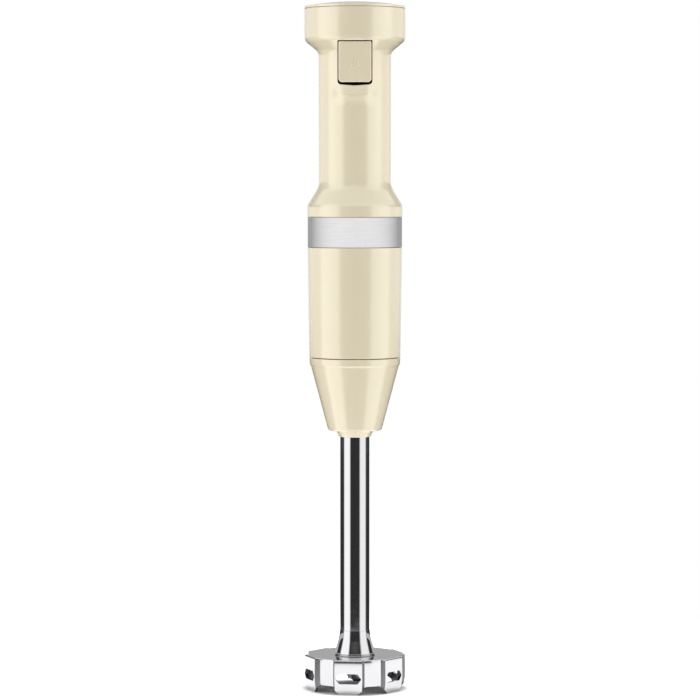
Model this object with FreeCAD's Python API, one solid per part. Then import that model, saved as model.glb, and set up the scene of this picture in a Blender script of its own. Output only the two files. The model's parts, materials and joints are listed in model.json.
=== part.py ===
"""Battery-powered immersion blender, standing upright on the rim of its blade guard.

A round handle with a wide head, a squeeze trigger under the head, a trim band over a motor sleeve,
and a blending arm that twists 35 degrees and pulls straight down out of the motor body.
Row frame in millimetres: +Z up along the drive axis, origin on that axis at the plane of the guard's feet,
front (the trigger side) towards -Y. Each sub-part is one STEP file, named after its node.
"""

import FreeCAD
import Part

import math
import os

V = FreeCAD.Vector
UP = V(0, 0, 1)

# Driving dimensions of the outside, in millimetres
TOTAL_H = 409.7
HEAD_R = 30.0
HANDLE_R = 21.4
BODY_R = 28.4
SEAM_Z = 198.6  # where the arm leaves the motor body
TUBE_R = 8.7
GUARD_R = 30.1
GUARD_H = 20.7

# Heights worked out from the driving dimensions
CAP_Z = TOTAL_H - 4.0  # underside of the domed cap
HEAD_BOTTOM_Z = CAP_Z - 19.0
NECK_Z = HEAD_BOTTOM_Z - 6.8
BAND_TOP_Z = SEAM_Z + 83.5
BAND_BOTTOM_Z = BAND_TOP_Z - 17.9
SHOULDER_Z = BAND_TOP_Z + 6.8
WAIST_Z = SHOULDER_Z + 11.2
CONE_BOTTOM_Z = SEAM_Z - 43.8
NECK_TOP_Z = GUARD_H + 14.5
TUBE_TOP_Z = CONE_BOTTOM_Z + 24.0

WALL = 2.2  # moulded housing walls
JOINT_GAP = 0.2  # visible gap between neighbouring covers
RUNNING = 0.05  # radial clearance of shafts in bearings
MOVING = 0.3  # clearance between bodies that move past each other


# ---------------------------------------------------------------- helpers
def save(name, shape):
    """Writes one sub-part and reports what it holds."""
    os.makedirs("parts", exist_ok=True)
    shape.exportStep("parts/" + name + ".step")
    cm3 = shape.Volume / 1000
    print(f"{name:20s} solids {len(shape.Solids):2d}  volume {cm3:8.3f} cm3  valid {shape.isValid()}")


def rounded_edges(corners, closed=True):
    """Edges of an outline in the XZ plane. A corner is (x, z) or (x, z, fillet radius)."""
    points = [V(c[0], 0, c[1]) for c in corners]
    count = len(points)
    ends = []
    for i, corner in enumerate(corners):
        radius = corner[2] if len(corner) > 2 else 0
        inner = closed or 0 < i < count - 1
        if not radius or not inner:
            ends.append((points[i], None, points[i]))
            continue
        back = (points[i - 1] - points[i]).normalize()
        ahead = (points[(i + 1) % count] - points[i]).normalize()
        half = back.getAngle(ahead) / 2
        reach = radius / math.tan(half)
        middle = (back + ahead).normalize()
        arc_mid = points[i] + middle * (radius / math.sin(half) - radius)
        ends.append((points[i] + back * reach, arc_mid, points[i] + ahead * reach))
    edges = []
    for i in range(count if closed else count - 1):
        start, end = ends[i][2], ends[(i + 1) % count][0]
        if ends[i][1] is not None:
            edges.append(Part.Arc(ends[i][0], ends[i][1], ends[i][2]).toShape())
        if start.distanceToPoint(end) > 1e-6:
            edges.append(Part.LineSegment(start, end).toShape())
    return edges


def lathe(corners):
    """Solid of revolution about Z from a closed outline of (radius, z, fillet) corners."""
    return Part.Face(Part.Wire(rounded_edges(corners))).revolve(V(0, 0, 0), UP, 360)


def ring(inner, outer, low, high):
    """Plain ring or, with inner 0, a plain disc about Z."""
    disc = Part.makeCylinder(outer, high - low, V(0, 0, low))
    return disc.cut(Part.makeCylinder(inner, high - low, V(0, 0, low))) if inner else disc


def block(x0, x1, y0, y1, z0, z1):
    return Part.makeBox(x1 - x0, y1 - y0, z1 - z0, V(x0, y0, z0))


def slab(corners, depth_from, depth_to):
    """Outline in XZ, rounded, extruded along Y."""
    face = Part.Face(Part.Wire(rounded_edges(corners)))
    face.translate(V(0, depth_from, 0))
    return face.extrude(V(0, depth_to - depth_from, 0))


def rectangle(half_w, half_h, middle_z, fillet):
    """Corners of a rounded rectangle about (0, middle_z)."""
    return [(x * half_w, middle_z + z * half_h, fillet) for x, z in ((-1, -1), (1, -1), (1, 1), (-1, 1))]


def turned(shape, degrees):
    """Copy turned about the drive axis."""
    copy = shape.copy()
    copy.rotate(V(0, 0, 0), UP, degrees)
    return copy


def around(shape, count, first=0.0):
    """Equally spaced copies about the drive axis."""
    return [turned(shape, first + 360.0 * i / count) for i in range(count)]


def sector(inner, outer, low, high, centre_deg, span_deg):
    """Piece of a ring, span_deg wide, centred on centre_deg from +X."""
    full = ring(inner, outer, low, high)
    reach = outer * 3
    half = math.radians(span_deg / 2)
    corners = [V(0, 0, low - 1)]
    steps = max(1, math.ceil(span_deg / 60))
    for i in range(steps + 1):
        at = -half + 2 * half * i / steps
        corners.append(V(reach * math.cos(at), reach * math.sin(at), low - 1))
    wedge = Part.Face(Part.makePolygon(corners + corners[:1])).extrude(V(0, 0, high - low + 2))
    return full.common(turned(wedge, centre_deg))


def joined(first, *others):
    return first.fuse(list(others)).removeSplitter()


def bolt(x, y, z_head, z_tip, shank_r, head_r, head_h, slot_w=0.8):
    """Pan-head screw along Z, its head at z_head and its tip at z_tip, with a cross recess."""
    way = 1 if z_tip < z_head else -1
    down = V(0, 0, -way)
    head = Part.makeCylinder(head_r, head_h, V(x, y, z_head), down)
    shank = Part.makeCylinder(shank_r, abs(z_head - z_tip), V(x, y, z_head), down)
    screw = head.fuse(shank)
    for across, along in ((slot_w, head_r * 1.3), (head_r * 1.3, slot_w)):
        low = z_head - head_h * 0.55 if way == 1 else z_head
        cut = Part.makeBox(across, along, head_h * 0.55, V(x - across / 2, y - along / 2, low))
        screw = screw.cut(cut)
    return screw


def bent_tube(points, tube_r, bend_r):
    """Wire or lead that runs straight between points with tangent arcs at the corners."""
    edges = []
    last = points[0]
    for i in range(1, len(points) - 1):
        back = (points[i - 1] - points[i]).normalize()
        ahead = (points[i + 1] - points[i]).normalize()
        half = back.getAngle(ahead) / 2
        reach = bend_r / math.tan(half)
        arc_mid = points[i] + (back + ahead).normalize() * (bend_r / math.sin(half) - bend_r)
        start, end = points[i] + back * reach, points[i] + ahead * reach
        edges.append(Part.LineSegment(last, start).toShape())
        edges.append(Part.Arc(start, arc_mid, end).toShape())
        last = end
    edges.append(Part.LineSegment(last, points[-1]).toShape())
    path = Part.Wire(edges)
    first = (points[1] - points[0]).normalize()
    profile = Part.Wire(Part.makeCircle(tube_r, points[0], first))
    return path.makePipeShell([profile], True, False)


def coil_spring(start, direction, length, coil_r, wire_r, turns):
    """Helical compression spring from start along direction."""
    pitch = length / turns
    helix = Part.makeHelix(pitch, length, coil_r)
    profile = Part.Wire(Part.makeCircle(wire_r, V(coil_r, 0, 0), V(0, 1, 0)))
    spring = Part.Wire(helix.Edges).makePipeShell([profile], True, True)
    spring.rotate(V(0, 0, 0), UP.cross(direction), math.degrees(UP.getAngle(direction)))
    spring.translate(start)
    return spring


# ---------------------------------------------------------------- handle shells
TRIGGER_W = 19.3
TRIGGER_TOP_Z = HEAD_BOTTOM_Z - 1.6
TRIGGER_BOTTOM_Z = TRIGGER_TOP_Z - 23.7
WINDOW_SIDE = 0.6
WINDOW_TOP = 0.6
WINDOW_BOTTOM = 1.7
LOCK_Z = HEAD_BOTTOM_Z + 9.6
LOCK_W, LOCK_H = 13.0, 8.4
JACK_Z = NECK_Z - 9.0
LIGHT_Z = HEAD_BOTTOM_Z + 2.2
LIGHT_R = 1.6
SKIRT_R = BODY_R - 1.8
BAND_R = BODY_R - 0.35
SHELL_SCREW_Z = (BAND_TOP_Z + BAND_BOTTOM_Z) / 2
TAB_Z = CAP_Z - 3.4

shell_outer = [
    (SKIRT_R, BAND_BOTTOM_Z + JOINT_GAP),
    (SKIRT_R, BAND_TOP_Z + JOINT_GAP),
    (BODY_R, BAND_TOP_Z + JOINT_GAP, 0.3),
    (BODY_R, SHOULDER_Z, 4.5),
    (HANDLE_R, WAIST_Z, 14.0),
    (HANDLE_R + 0.15, NECK_Z, 5.4),
    (HEAD_R, HEAD_BOTTOM_Z, 4.0),
    (HEAD_R, CAP_Z - JOINT_GAP, 0.3),
]
shell_inner = [
    (HEAD_R - WALL, CAP_Z - JOINT_GAP),
    (HEAD_R - WALL, HEAD_BOTTOM_Z + 0.6, 2.0),
    (HANDLE_R - WALL + 0.15, NECK_Z + 1.0, 5.0),
    (HANDLE_R - WALL, WAIST_Z - 1.0, 12.0),
    (SKIRT_R - WALL, SHOULDER_Z - 1.0, 4.0),
    (SKIRT_R - WALL, BAND_BOTTOM_Z + JOINT_GAP),
]
shell = lathe(shell_outer + shell_inner)


def trigger_window(side, top, bottom, y_from, y_to):
    """Opening for the trigger: square top corners, rounded and slightly bowed bottom."""
    half = TRIGGER_W / 2 + side
    low, high = TRIGGER_BOTTOM_Z - bottom, TRIGGER_TOP_Z + top
    top_corners = [(-half, high, 0.5), (half, high, 0.5)]
    bow = [(half, low + 0.5, 2.3), (0, low - 0.3), (-half, low + 0.5, 2.3)]
    return slab(top_corners + bow, y_from, y_to)


# Lip below the trigger: it stands proud of the handle and fades out downwards
LIP_H = 14.0
LIP_HALF_W = 12.6
lip_front = HANDLE_R + 2.9
lip_outline = [
    (-lip_front, TRIGGER_BOTTOM_Z + 1.5),
    (-lip_front, TRIGGER_BOTTOM_Z - 3.2, 2.5),
    (-HANDLE_R + 0.3, TRIGGER_BOTTOM_Z - 12.0),
    (-HANDLE_R + 1.5, TRIGGER_BOTTOM_Z + 1.5),
]
lip = lathe(lip_outline)
lip_room = block(-LIP_HALF_W, LIP_HALF_W, -HEAD_R, -5, TRIGGER_BOTTOM_Z - LIP_H, TRIGGER_BOTTOM_Z + 1.5)
lip = lip.common(lip_room)

# Screw tabs under the cap, two on each shell
TAB_Y = HEAD_R - WALL - 6.0
TAB_TURN = 50.0
tab_bar = block(-4.0, 4.0, TAB_Y - 3.6, HEAD_R - WALL + 0.4, TAB_Z - 1.2, TAB_Z + 1.2)
tab = tab_bar.cut(Part.makeCylinder(1.6, 6, V(0, TAB_Y, TAB_Z - 3)))
rear_turns = (TAB_TURN, -TAB_TURN)
front_turns = (180 + TAB_TURN, 180 - TAB_TURN)

# Radial screw holes in the skirt, covered by the trim band
SKIRT_SCREW_TURN = 28.0
skirt_hole = Part.makeCylinder(1.6, WALL * 4, V(0, SKIRT_R - WALL * 2, SHELL_SCREW_Z), V(0, 1, 0))
skirt_holes = [turned(skirt_hole, a) for a in (SKIRT_SCREW_TURN, -SKIRT_SCREW_TURN)]

HALF_GAP = 0.06  # each shell stops this far from the parting plane
CLEAR = HEAD_R + 5  # further out than any part of the object
front_half = block(-CLEAR, CLEAR, -CLEAR, -HALF_GAP, BAND_BOTTOM_Z - 1, CAP_Z + 1)
rear_half = block(-CLEAR, CLEAR, HALF_GAP, CLEAR, BAND_BOTTOM_Z - 1, CAP_Z + 1)

front_shell = shell.fuse(lip).common(front_half)
front_shell = front_shell.cut(trigger_window(WINDOW_SIDE, WINDOW_TOP, WINDOW_BOTTOM, -CLEAR, -14.0))
front_shell = front_shell.cut([turned(h, 180) for h in skirt_holes])
front_shell = joined(front_shell, *[turned(tab, a) for a in front_turns])
save("front_shell", front_shell)


def lock_outline(grow, y_from, y_to):
    half_w, half_h = LOCK_W / 2 + grow, LOCK_H / 2 + grow
    return slab(rectangle(half_w, half_h, LOCK_Z, half_h - 0.05), y_from, y_to)


JACK_OUTER_R = 4.2
JACK_FACE_Y = HANDLE_R - 0.35
jack_hole = Part.makeCylinder(JACK_OUTER_R + 0.1, 12, V(0, 14, JACK_Z), V(0, 1, 0))
light_hole = Part.makeCylinder(LIGHT_R + 0.05, 12, V(0, 20, LIGHT_Z), V(0, 1, 0))
rear_shell = shell.common(rear_half)
rear_shell = rear_shell.cut(lock_outline(MOVING, 15, CLEAR)).cut([jack_hole, light_hole])
rear_shell = rear_shell.cut(skirt_holes)
rear_shell = joined(rear_shell, *[turned(tab, a) for a in rear_turns])
save("rear_shell", rear_shell)

# ---------------------------------------------------------------- cap, gasket and trim band
DOME_R = 165.0
CAP_EDGE_Z = CAP_Z + 1.45
dome = Part.makeSphere(DOME_R, V(0, 0, TOTAL_H - DOME_R))
cap_blank = lathe([
    (0, CAP_Z),
    (HEAD_R - 0.05, CAP_Z),
    (HEAD_R - 0.05, CAP_EDGE_Z, 1.3),
    (HEAD_R - 1.2, TOTAL_H + 1),
    (0, TOTAL_H + 1),
])
cap_spigot_r = HEAD_R - WALL - 0.15
cap_spigot = ring(cap_spigot_r - 1.6, cap_spigot_r, CAP_Z - 1.9, CAP_Z + 0.5)
cap_hollow = lathe([
    (0, CAP_Z - 1),
    (HEAD_R - 4.6, CAP_Z - 1),
    (HEAD_R - 5.4, CAP_Z + 0.9, 1.0),
    (0, CAP_Z + 1.8),
])
top_cap = joined(cap_blank.common(dome), cap_spigot).cut(cap_hollow)
save("top_cap", top_cap)

gasket_r = 0.7
cap_gasket = Part.makeTorus(cap_spigot_r - 1.6 - gasket_r - 0.05, gasket_r, V(0, 0, CAP_Z - 1.0), UP)
save("cap_gasket", cap_gasket)

trim_band = lathe([
    (SKIRT_R + 0.05, BAND_BOTTOM_Z + 0.1),
    (BAND_R, BAND_BOTTOM_Z + 0.1, 0.25),
    (BAND_R, BAND_TOP_Z, 0.25),
    (SKIRT_R + 0.05, BAND_TOP_Z),
])
save("trim_band", trim_band)

# ---------------------------------------------------------------- motor sleeve and arm socket
SLEEVE_TOP_R = BODY_R - 0.25
SLEEVE_LOW_R = BODY_R - 1.2
SOCKET_R = 24.9
BORE_R = 23.0
SPIGOT_R = 20.4
LUG_R = BORE_R - 0.4
BULKHEAD_Z = SEAM_Z + 20.4
MOTOR_Z = BULKHEAD_Z + 5.0  # lower face of the motor can
motor_sleeve = lathe([
    (SOCKET_R + 0.1, SEAM_Z + JOINT_GAP),
    (SLEEVE_LOW_R, SEAM_Z + JOINT_GAP, 0.5),
    (SLEEVE_TOP_R, BAND_BOTTOM_Z - 0.1, 0.3),
    (SOCKET_R + 0.1, BAND_BOTTOM_Z - 0.1),
])
save("motor_sleeve", motor_sleeve)

LUG_TOP_Z = SEAM_Z + 11.9
LUG_H = 3.0
FINGER_Z = LUG_TOP_Z - LUG_H - MOVING - 1.0  # underside of the retaining fingers
SCREW_CIRCLE = 20.4
MOTOR_SCREW_R = 12.5
BOSS_R = 6.2
socket_tube = ring(BORE_R, SOCKET_R, SEAM_Z + 0.6, BULKHEAD_Z)
bulkhead = ring(BOSS_R, SOCKET_R, BULKHEAD_Z, MOTOR_Z)
spring_groove = ring(BORE_R - 0.1, BORE_R + 1.0, FINGER_Z - 0.1, FINGER_Z + 1.1)
arm_socket = joined(socket_tube, bulkhead).cut(spring_groove)
for x, y, _ in [turned(Part.Vertex(SCREW_CIRCLE, 0, 0), 90 + 120 * i).Point for i in range(3)]:
    arm_socket = arm_socket.cut(Part.makeCylinder(1.5, 6, V(x, y, BULKHEAD_Z - 0.5)))
    arm_socket = arm_socket.cut(Part.makeCylinder(2.4, 2.2, V(x, y, BULKHEAD_Z - 0.1)))
for x in (-MOTOR_SCREW_R, MOTOR_SCREW_R):
    arm_socket = arm_socket.cut(Part.makeCylinder(1.6, 6, V(x, 0, BULKHEAD_Z - 0.5)))
    arm_socket = arm_socket.cut(Part.makeCylinder(3.0, 2.2, V(x, 0, BULKHEAD_Z - 0.1)))
save("arm_socket", arm_socket)

LUG_COUNT, LUG_SPAN = 3, 24.0
finger_span = LUG_SPAN + 2
retaining = ring(BORE_R + 0.1, BORE_R + 0.9, FINGER_Z, FINGER_Z + 1.0)
finger = sector(SPIGOT_R + 0.4, BORE_R + 0.5, FINGER_Z, FINGER_Z + 1.0, 90, finger_span)
fingers = around(finger, LUG_COUNT)
split = block(BORE_R - 1, BORE_R + 2, -1.5, 1.5, FINGER_Z - 1, FINGER_Z + 2)
retaining_spring = joined(retaining, *fingers).cut(turned(split, 30))
save("retaining_spring", retaining_spring)

SHAFT_R = 2.0  # the motor's shaft
shaft_seal = lathe([
    (SHAFT_R + 0.15, BULKHEAD_Z + 0.9),
    (3.4, BULKHEAD_Z + 0.2),
    (BOSS_R, BULKHEAD_Z + 0.2),
    (BOSS_R, BULKHEAD_Z + 2.2),
    (3.4, BULKHEAD_Z + 2.2),
    (SHAFT_R + 0.15, BULKHEAD_Z + 1.5),
])
save("shaft_seal", shaft_seal)

# ---------------------------------------------------------------- chassis inside the handle
CELL_R, CELL_L = 9.15, 65.0
CELL_X = CELL_R + 0.15
CELL_Z = WAIST_Z - 2.0
CELL_TOP_Z = CELL_Z + CELL_L
MOTOR_R, MOTOR_L = 17.9, 50.0
MOTOR_TOP_Z = MOTOR_Z + MOTOR_L
PIVOT_Y, PIVOT_Z = -18.0, HEAD_BOTTOM_Z + 3.4
PIN_R = 1.2
TOP_PLATE_Z = CAP_Z - 6.9
DAMPER_R = MOTOR_R + 2.4
CAGE_R = SKIRT_R - WALL - 0.25
CAGE_Z = MOTOR_TOP_Z - 11.0  # upper ring of the cage that holds the motor
BOARD_Y, BOARD_W, BOARD_T = 1.2, 25.6, 1.6
BOARD_LOW_Z = CELL_TOP_Z + 3.6
BOARD_TOP_Z = TOP_PLATE_Z - 0.4
TERMINAL_Z = BOARD_LOW_Z + 11.5

cage_ring = ring(DAMPER_R + 0.05, CAGE_R, CAGE_Z, CAGE_Z + 6.0)
post = Part.makeCylinder(2.3, CAGE_Z - MOTOR_Z, V(SCREW_CIRCLE + 0.4, 0, MOTOR_Z))
posts = around(post, 3, 90)
bridge = ring(9.0, CAGE_R, MOTOR_TOP_Z + 6.5, MOTOR_TOP_Z + 8.5)
strut = block(-3.5, 3.5, 22.0, CAGE_R - 0.3, CAGE_Z + 5.5, MOTOR_TOP_Z + 7.5)
boss = Part.makeCylinder(2.4, 5.2, V(0, CAGE_R - 5.6, SHELL_SCREW_Z), V(0, 1, 0))
boss_hole = Part.makeCylinder(1.15, 12, V(0, CAGE_R - 6.2, SHELL_SCREW_Z), V(0, 1, 0))
boss_turns = (SKIRT_SCREW_TURN, -SKIRT_SCREW_TURN, 180 + SKIRT_SCREW_TURN, 180 - SKIRT_SCREW_TURN)
cradle_r = HANDLE_R - WALL - 0.5
cradle = ring(0, cradle_r, MOTOR_TOP_Z + 8.0, CELL_TOP_Z + 3.0)
cradle = cradle.common(block(-CLEAR, CLEAR, 3.0, 12.4, 0, TOTAL_H))
cells_room = [Part.makeCylinder(CELL_R + 0.1, CELL_L + 0.8, V(x, 0, CELL_Z - 0.4)) for x in (-CELL_X, CELL_X)]
deck = ring(0, cradle_r, CELL_TOP_Z + 1.0, CELL_TOP_Z + 3.0)
deck = deck.cut(block(-13.0, 13.0, -20, -7.0, CELL_TOP_Z, CELL_TOP_Z + 4))
spring_wall = block(-6.5, 6.5, -5.0, -3.4, CELL_TOP_Z + 2.0, CELL_TOP_Z + 17.0)
rail = block(11.8, 15.4, BOARD_Y - 1.8, BOARD_Y + 3.4, CELL_TOP_Z + 2.0, TOP_PLATE_Z + 1.0)
rail = rail.cut(block(0, BOARD_W / 2 + 0.1, BOARD_Y - 0.05, BOARD_Y + BOARD_T + 0.05, BOARD_LOW_Z, BOARD_TOP_Z))
top_plate = ring(0, HEAD_R - WALL - 0.5, TOP_PLATE_Z, TOP_PLATE_Z + 2.0)
top_plate = top_plate.cut(block(-6, 6, -9, 9, TOP_PLATE_Z - 1, TOP_PLATE_Z + 3))
top_plate = top_plate.cut(block(-9, 9, 14.65, 30, TOP_PLATE_Z - 1, TOP_PLATE_Z + 3))
ear = block(11.2, 13.4, PIVOT_Y - 3.0, PIVOT_Y + 3.0, PIVOT_Z - 3.0, TOP_PLATE_Z + 1.0)
tab_post = Part.makeCylinder(2.6, TAB_Z - 1.25 - TOP_PLATE_Z, V(0, TAB_Y, TOP_PLATE_Z))
tab_posts = [turned(tab_post, a) for a in rear_turns + front_turns]
left_parts = [part.mirror(V(0, 0, 0), V(1, 0, 0)) for part in (rail, ear)]
bosses = [turned(part, a) for a in boss_turns for part in (strut, boss)]
lower_frame = joined(cage_ring, *posts, bridge, cradle, *bosses)
chassis = joined(lower_frame, deck, spring_wall, rail, ear, *left_parts, top_plate, *tab_posts)
chassis = chassis.cut(cells_room + [turned(boss_hole, a) for a in boss_turns])
chassis = chassis.cut(Part.makeCylinder(PIN_R, 40, V(-20, PIVOT_Y, PIVOT_Z), V(1, 0, 0)))
tab_hole = Part.makeCylinder(1.15, 8, V(0, TAB_Y, TAB_Z - 7))
chassis = chassis.cut([turned(tab_hole, a) for a in rear_turns + front_turns])
chassis = chassis.cut(around(Part.makeCylinder(1.15, 9, V(SCREW_CIRCLE, 0, MOTOR_Z - 1)), 3, 90))
chassis = chassis.cut([Part.makeCylinder(1.6, 6, V(x, 0, CELL_TOP_Z - 1), UP) for x in (-13.0, 13.0)])
save("chassis", chassis)

# ---------------------------------------------------------------- battery
cells = []
for x, way in ((-CELL_X, 1), (CELL_X, -1)):
    can = Part.makeCylinder(CELL_R, CELL_L - 1.0, V(x, 0, CELL_Z + (0 if way == 1 else 1.0)))
    button = Part.makeCylinder(2.8, 1.2, V(x, 0, CELL_TOP_Z - 1.2 if way == 1 else CELL_Z))
    cells.append(can.fuse(button))
save("battery_cells", Part.makeCompound(cells))

strap_t = 0.2
series = block(-CELL_X - 3, CELL_X + 3, -3, 3, CELL_TOP_Z, CELL_TOP_Z + strap_t)
negative = block(-CELL_X - 3, -CELL_X + 6.2, -3, 3, CELL_Z - strap_t, CELL_Z)
positive = block(CELL_X - 6.2, CELL_X + 3, -3, 3, CELL_Z - strap_t, CELL_Z)
save("cell_straps", Part.makeCompound([series, negative, positive]))

# ---------------------------------------------------------------- control board and what stands on it
board = block(-BOARD_W / 2, BOARD_W / 2, BOARD_Y, BOARD_Y + BOARD_T, BOARD_LOW_Z, BOARD_TOP_Z)
chips = [
    block(-6.2, -0.2, BOARD_Y - 1.2, BOARD_Y, BOARD_LOW_Z + 4, BOARD_LOW_Z + 10),
    block(-10.5, -4.5, BOARD_Y - 1.5, BOARD_Y, BOARD_LOW_Z + 20, BOARD_LOW_Z + 26),
    block(4.0, 9.0, BOARD_Y - 1.4, BOARD_Y, BOARD_LOW_Z + 21, BOARD_LOW_Z + 27),
    block(-11, -7, BOARD_Y + BOARD_T, BOARD_Y + 3.4, BOARD_LOW_Z + 14, BOARD_LOW_Z + 20),
    block(5.5, 11, BOARD_Y + BOARD_T, BOARD_Y + 5.0, BOARD_LOW_Z + 2, BOARD_LOW_Z + 8),
]
terminals = [block(x - 2.2, x + 2.2, BOARD_Y - 4.4, BOARD_Y, TERMINAL_Z, TERMINAL_Z + 6.0) for x in (-9.4, 9.4)]
capacitor = Part.makeCylinder(3.0, 7.0, V(0, BOARD_Y - 3.4, BOARD_LOW_Z + 17), UP)
capacitor_foot = block(-1.0, 1.0, BOARD_Y - 3.4, BOARD_Y, BOARD_LOW_Z + 19, BOARD_LOW_Z + 22)
control_board = joined(board, *chips, *terminals, capacitor, capacitor_foot)
save("control_board", control_board)

JACK_R, JACK_DEPTH = 1.8, 10.0
jack_body = block(-4.6, 4.6, BOARD_Y + BOARD_T, JACK_FACE_Y - 4.4, JACK_Z - 4.6, JACK_Z + 4.6)
jack_nose = Part.makeCylinder(JACK_OUTER_R, 6.0, V(0, JACK_FACE_Y - 6.0, JACK_Z), V(0, 1, 0))
jack_bore = Part.makeCylinder(JACK_R, JACK_DEPTH + 1, V(0, JACK_FACE_Y - JACK_DEPTH, JACK_Z), V(0, 1, 0))
charge_socket = joined(jack_body, jack_nose).cut(jack_bore)
save("charge_socket", charge_socket)

light_y = BOARD_Y + BOARD_T
light_front = math.sqrt(HEAD_R**2 - LIGHT_R**2) - 0.35
light_pipe = Part.makeCylinder(LIGHT_R, light_front - light_y - 0.8, V(0, light_y + 0.8, LIGHT_Z), V(0, 1, 0))
light_chip = block(-1.2, 1.2, light_y, light_y + 0.7, LIGHT_Z - 1.0, LIGHT_Z + 1.0)
save("status_light", Part.makeCompound([light_pipe.makeFillet(0.4, light_pipe.Edges[:1]), light_chip]))

# ---------------------------------------------------------------- safety lock button at the rear
LOCK_STEM_R = 1.8
lock_face_y = HEAD_R - 0.1
lock_face = ring(0, lock_face_y, LOCK_Z - 10, LOCK_Z + 10)
lock_body = lock_outline(0, 23.2, CLEAR).common(lock_face)
lock_flange = slab(rectangle(LOCK_W / 2 + 1.2, LOCK_H / 2 + 1.0, LOCK_Z, 2), 22.2, 23.7)
lock_stem = Part.makeCylinder(LOCK_STEM_R, 10.0, V(0, 12.4, LOCK_Z), V(0, 1, 0))
lock_button = joined(lock_body, lock_flange, lock_stem)
save("lock_button", lock_button)

switch_body = block(-3, 3, BOARD_Y + BOARD_T, BOARD_Y + 7.5, LOCK_Z - 3.2, LOCK_Z + 1.6)
switch_cap = Part.makeCylinder(1.6, 1.5, V(0, BOARD_Y + 7.5, LOCK_Z - 0.8), V(0, 1, 0))
lock_switch = joined(switch_body, switch_cap)
save("lock_switch", lock_switch)

guide_plate = block(-7.5, 7.5, 13.0, 14.6, LOCK_Z - 4.4, TOP_PLATE_Z - 0.02)
guide_plate = guide_plate.cut(Part.makeCylinder(LOCK_STEM_R + MOVING, 6, V(0, 11, LOCK_Z), V(0, 1, 0)))
save("button_guide", guide_plate)

lock_spring = coil_spring(V(0, 15.0, LOCK_Z), V(0, 1, 0), 6.8, 3.1, 0.28, 5)
save("lock_spring", lock_spring)

# ---------------------------------------------------------------- trigger
face_top_y = -(HEAD_R - 1.5)
face_low_y = -(HANDLE_R + 3.4)
trigger_side = [
    (face_top_y, TRIGGER_TOP_Z, 0.9),
    (face_low_y, TRIGGER_BOTTOM_Z, 1.2),
    (face_low_y + 7.0, TRIGGER_BOTTOM_Z, 1.0),
    (face_low_y + 7.4, TRIGGER_TOP_Z - 9.0, 2.0),
    (PIVOT_Y + 2.8, PIVOT_Z - 3.0, 1.0),
    (PIVOT_Y + 2.8, PIVOT_Z + 2.8, 2.4),
    (PIVOT_Y - 2.8, PIVOT_Z + 2.8, 2.4),
    (PIVOT_Y - 3.0, TRIGGER_TOP_Z, 0.8),
]
side_face = Part.Face(Part.Wire(rounded_edges(trigger_side)))
side_face.rotate(V(0, 0, 0), UP, 90)
trigger_block = side_face.extrude(V(TRIGGER_W, 0, 0))
trigger_block.translate(V(-TRIGGER_W / 2, 0, 0))
hollow_side = [
    (face_top_y + 2.4, TRIGGER_TOP_Z - 2.0),
    (face_low_y + 2.2, TRIGGER_BOTTOM_Z + 1.8),
    (face_low_y + 14.0, TRIGGER_BOTTOM_Z + 1.8),
    (face_low_y + 14.0, PIVOT_Z + 8.0),
    (PIVOT_Y - 4.5, PIVOT_Z + 8.0),
    (PIVOT_Y - 4.5, TRIGGER_TOP_Z - 2.0),
]
hollow_face = Part.Face(Part.Wire(rounded_edges(hollow_side)))
hollow_face.rotate(V(0, 0, 0), UP, 90)
hollow = hollow_face.extrude(V(TRIGGER_W - 4.4, 0, 0))
hollow.translate(V(-(TRIGGER_W - 4.4) / 2, 0, 0))
spring_rod = Part.makeCylinder(2.2, 9.6, V(0, face_low_y - 0.1, CELL_TOP_Z + 7.0), V(0, 1, 0))
magnet_z = TRIGGER_TOP_Z - 8.0
magnet_y = face_low_y + 11.8
magnet_post = Part.makeCylinder(2.6, magnet_y - face_low_y + 0.4, V(0, face_low_y - 0.4, magnet_z), V(0, 1, 0))
trigger_body = joined(trigger_block.cut(hollow), spring_rod, magnet_post)
trim_half = TRIGGER_W / 2
edge_trim = [
    (-trim_half, TRIGGER_BOTTOM_Z, 1.9),
    (trim_half, TRIGGER_BOTTOM_Z, 1.9),
    (trim_half, TOTAL_H),
    (-trim_half, TOTAL_H),
]
trigger_body = trigger_body.common(slab(edge_trim, -CLEAR, 0))
trigger_body = trigger_body.cut(Part.makeCylinder(PIN_R + RUNNING, 40, V(-20, PIVOT_Y, PIVOT_Z), V(1, 0, 0)))
save("trigger", trigger_body)

trigger_magnet = Part.makeCylinder(2.0, 2.0, V(0, magnet_y, magnet_z), V(0, 1, 0))
save("trigger_magnet", trigger_magnet)

sensor_chip = block(-2.2, 2.2, -6.6, -5.0, magnet_z - 1.6, magnet_z + 1.6)
sensor_base = block(-3.0, 3.0, -5.6, -5.0, magnet_z - 2.4, magnet_z + 2.4)
save("speed_sensor", joined(sensor_chip, sensor_base))

trigger_pin = Part.makeCylinder(PIN_R, 26.4, V(-13.2, PIVOT_Y, PIVOT_Z), V(1, 0, 0))
save("trigger_pin", trigger_pin)

spring_start = V(0, face_low_y + 9.85, CELL_TOP_Z + 7.0)
trigger_spring = coil_spring(spring_start, V(0, 1, 0), -5.35 - spring_start.y, 2.6, 0.3, 6)
save("trigger_spring", trigger_spring)

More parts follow.
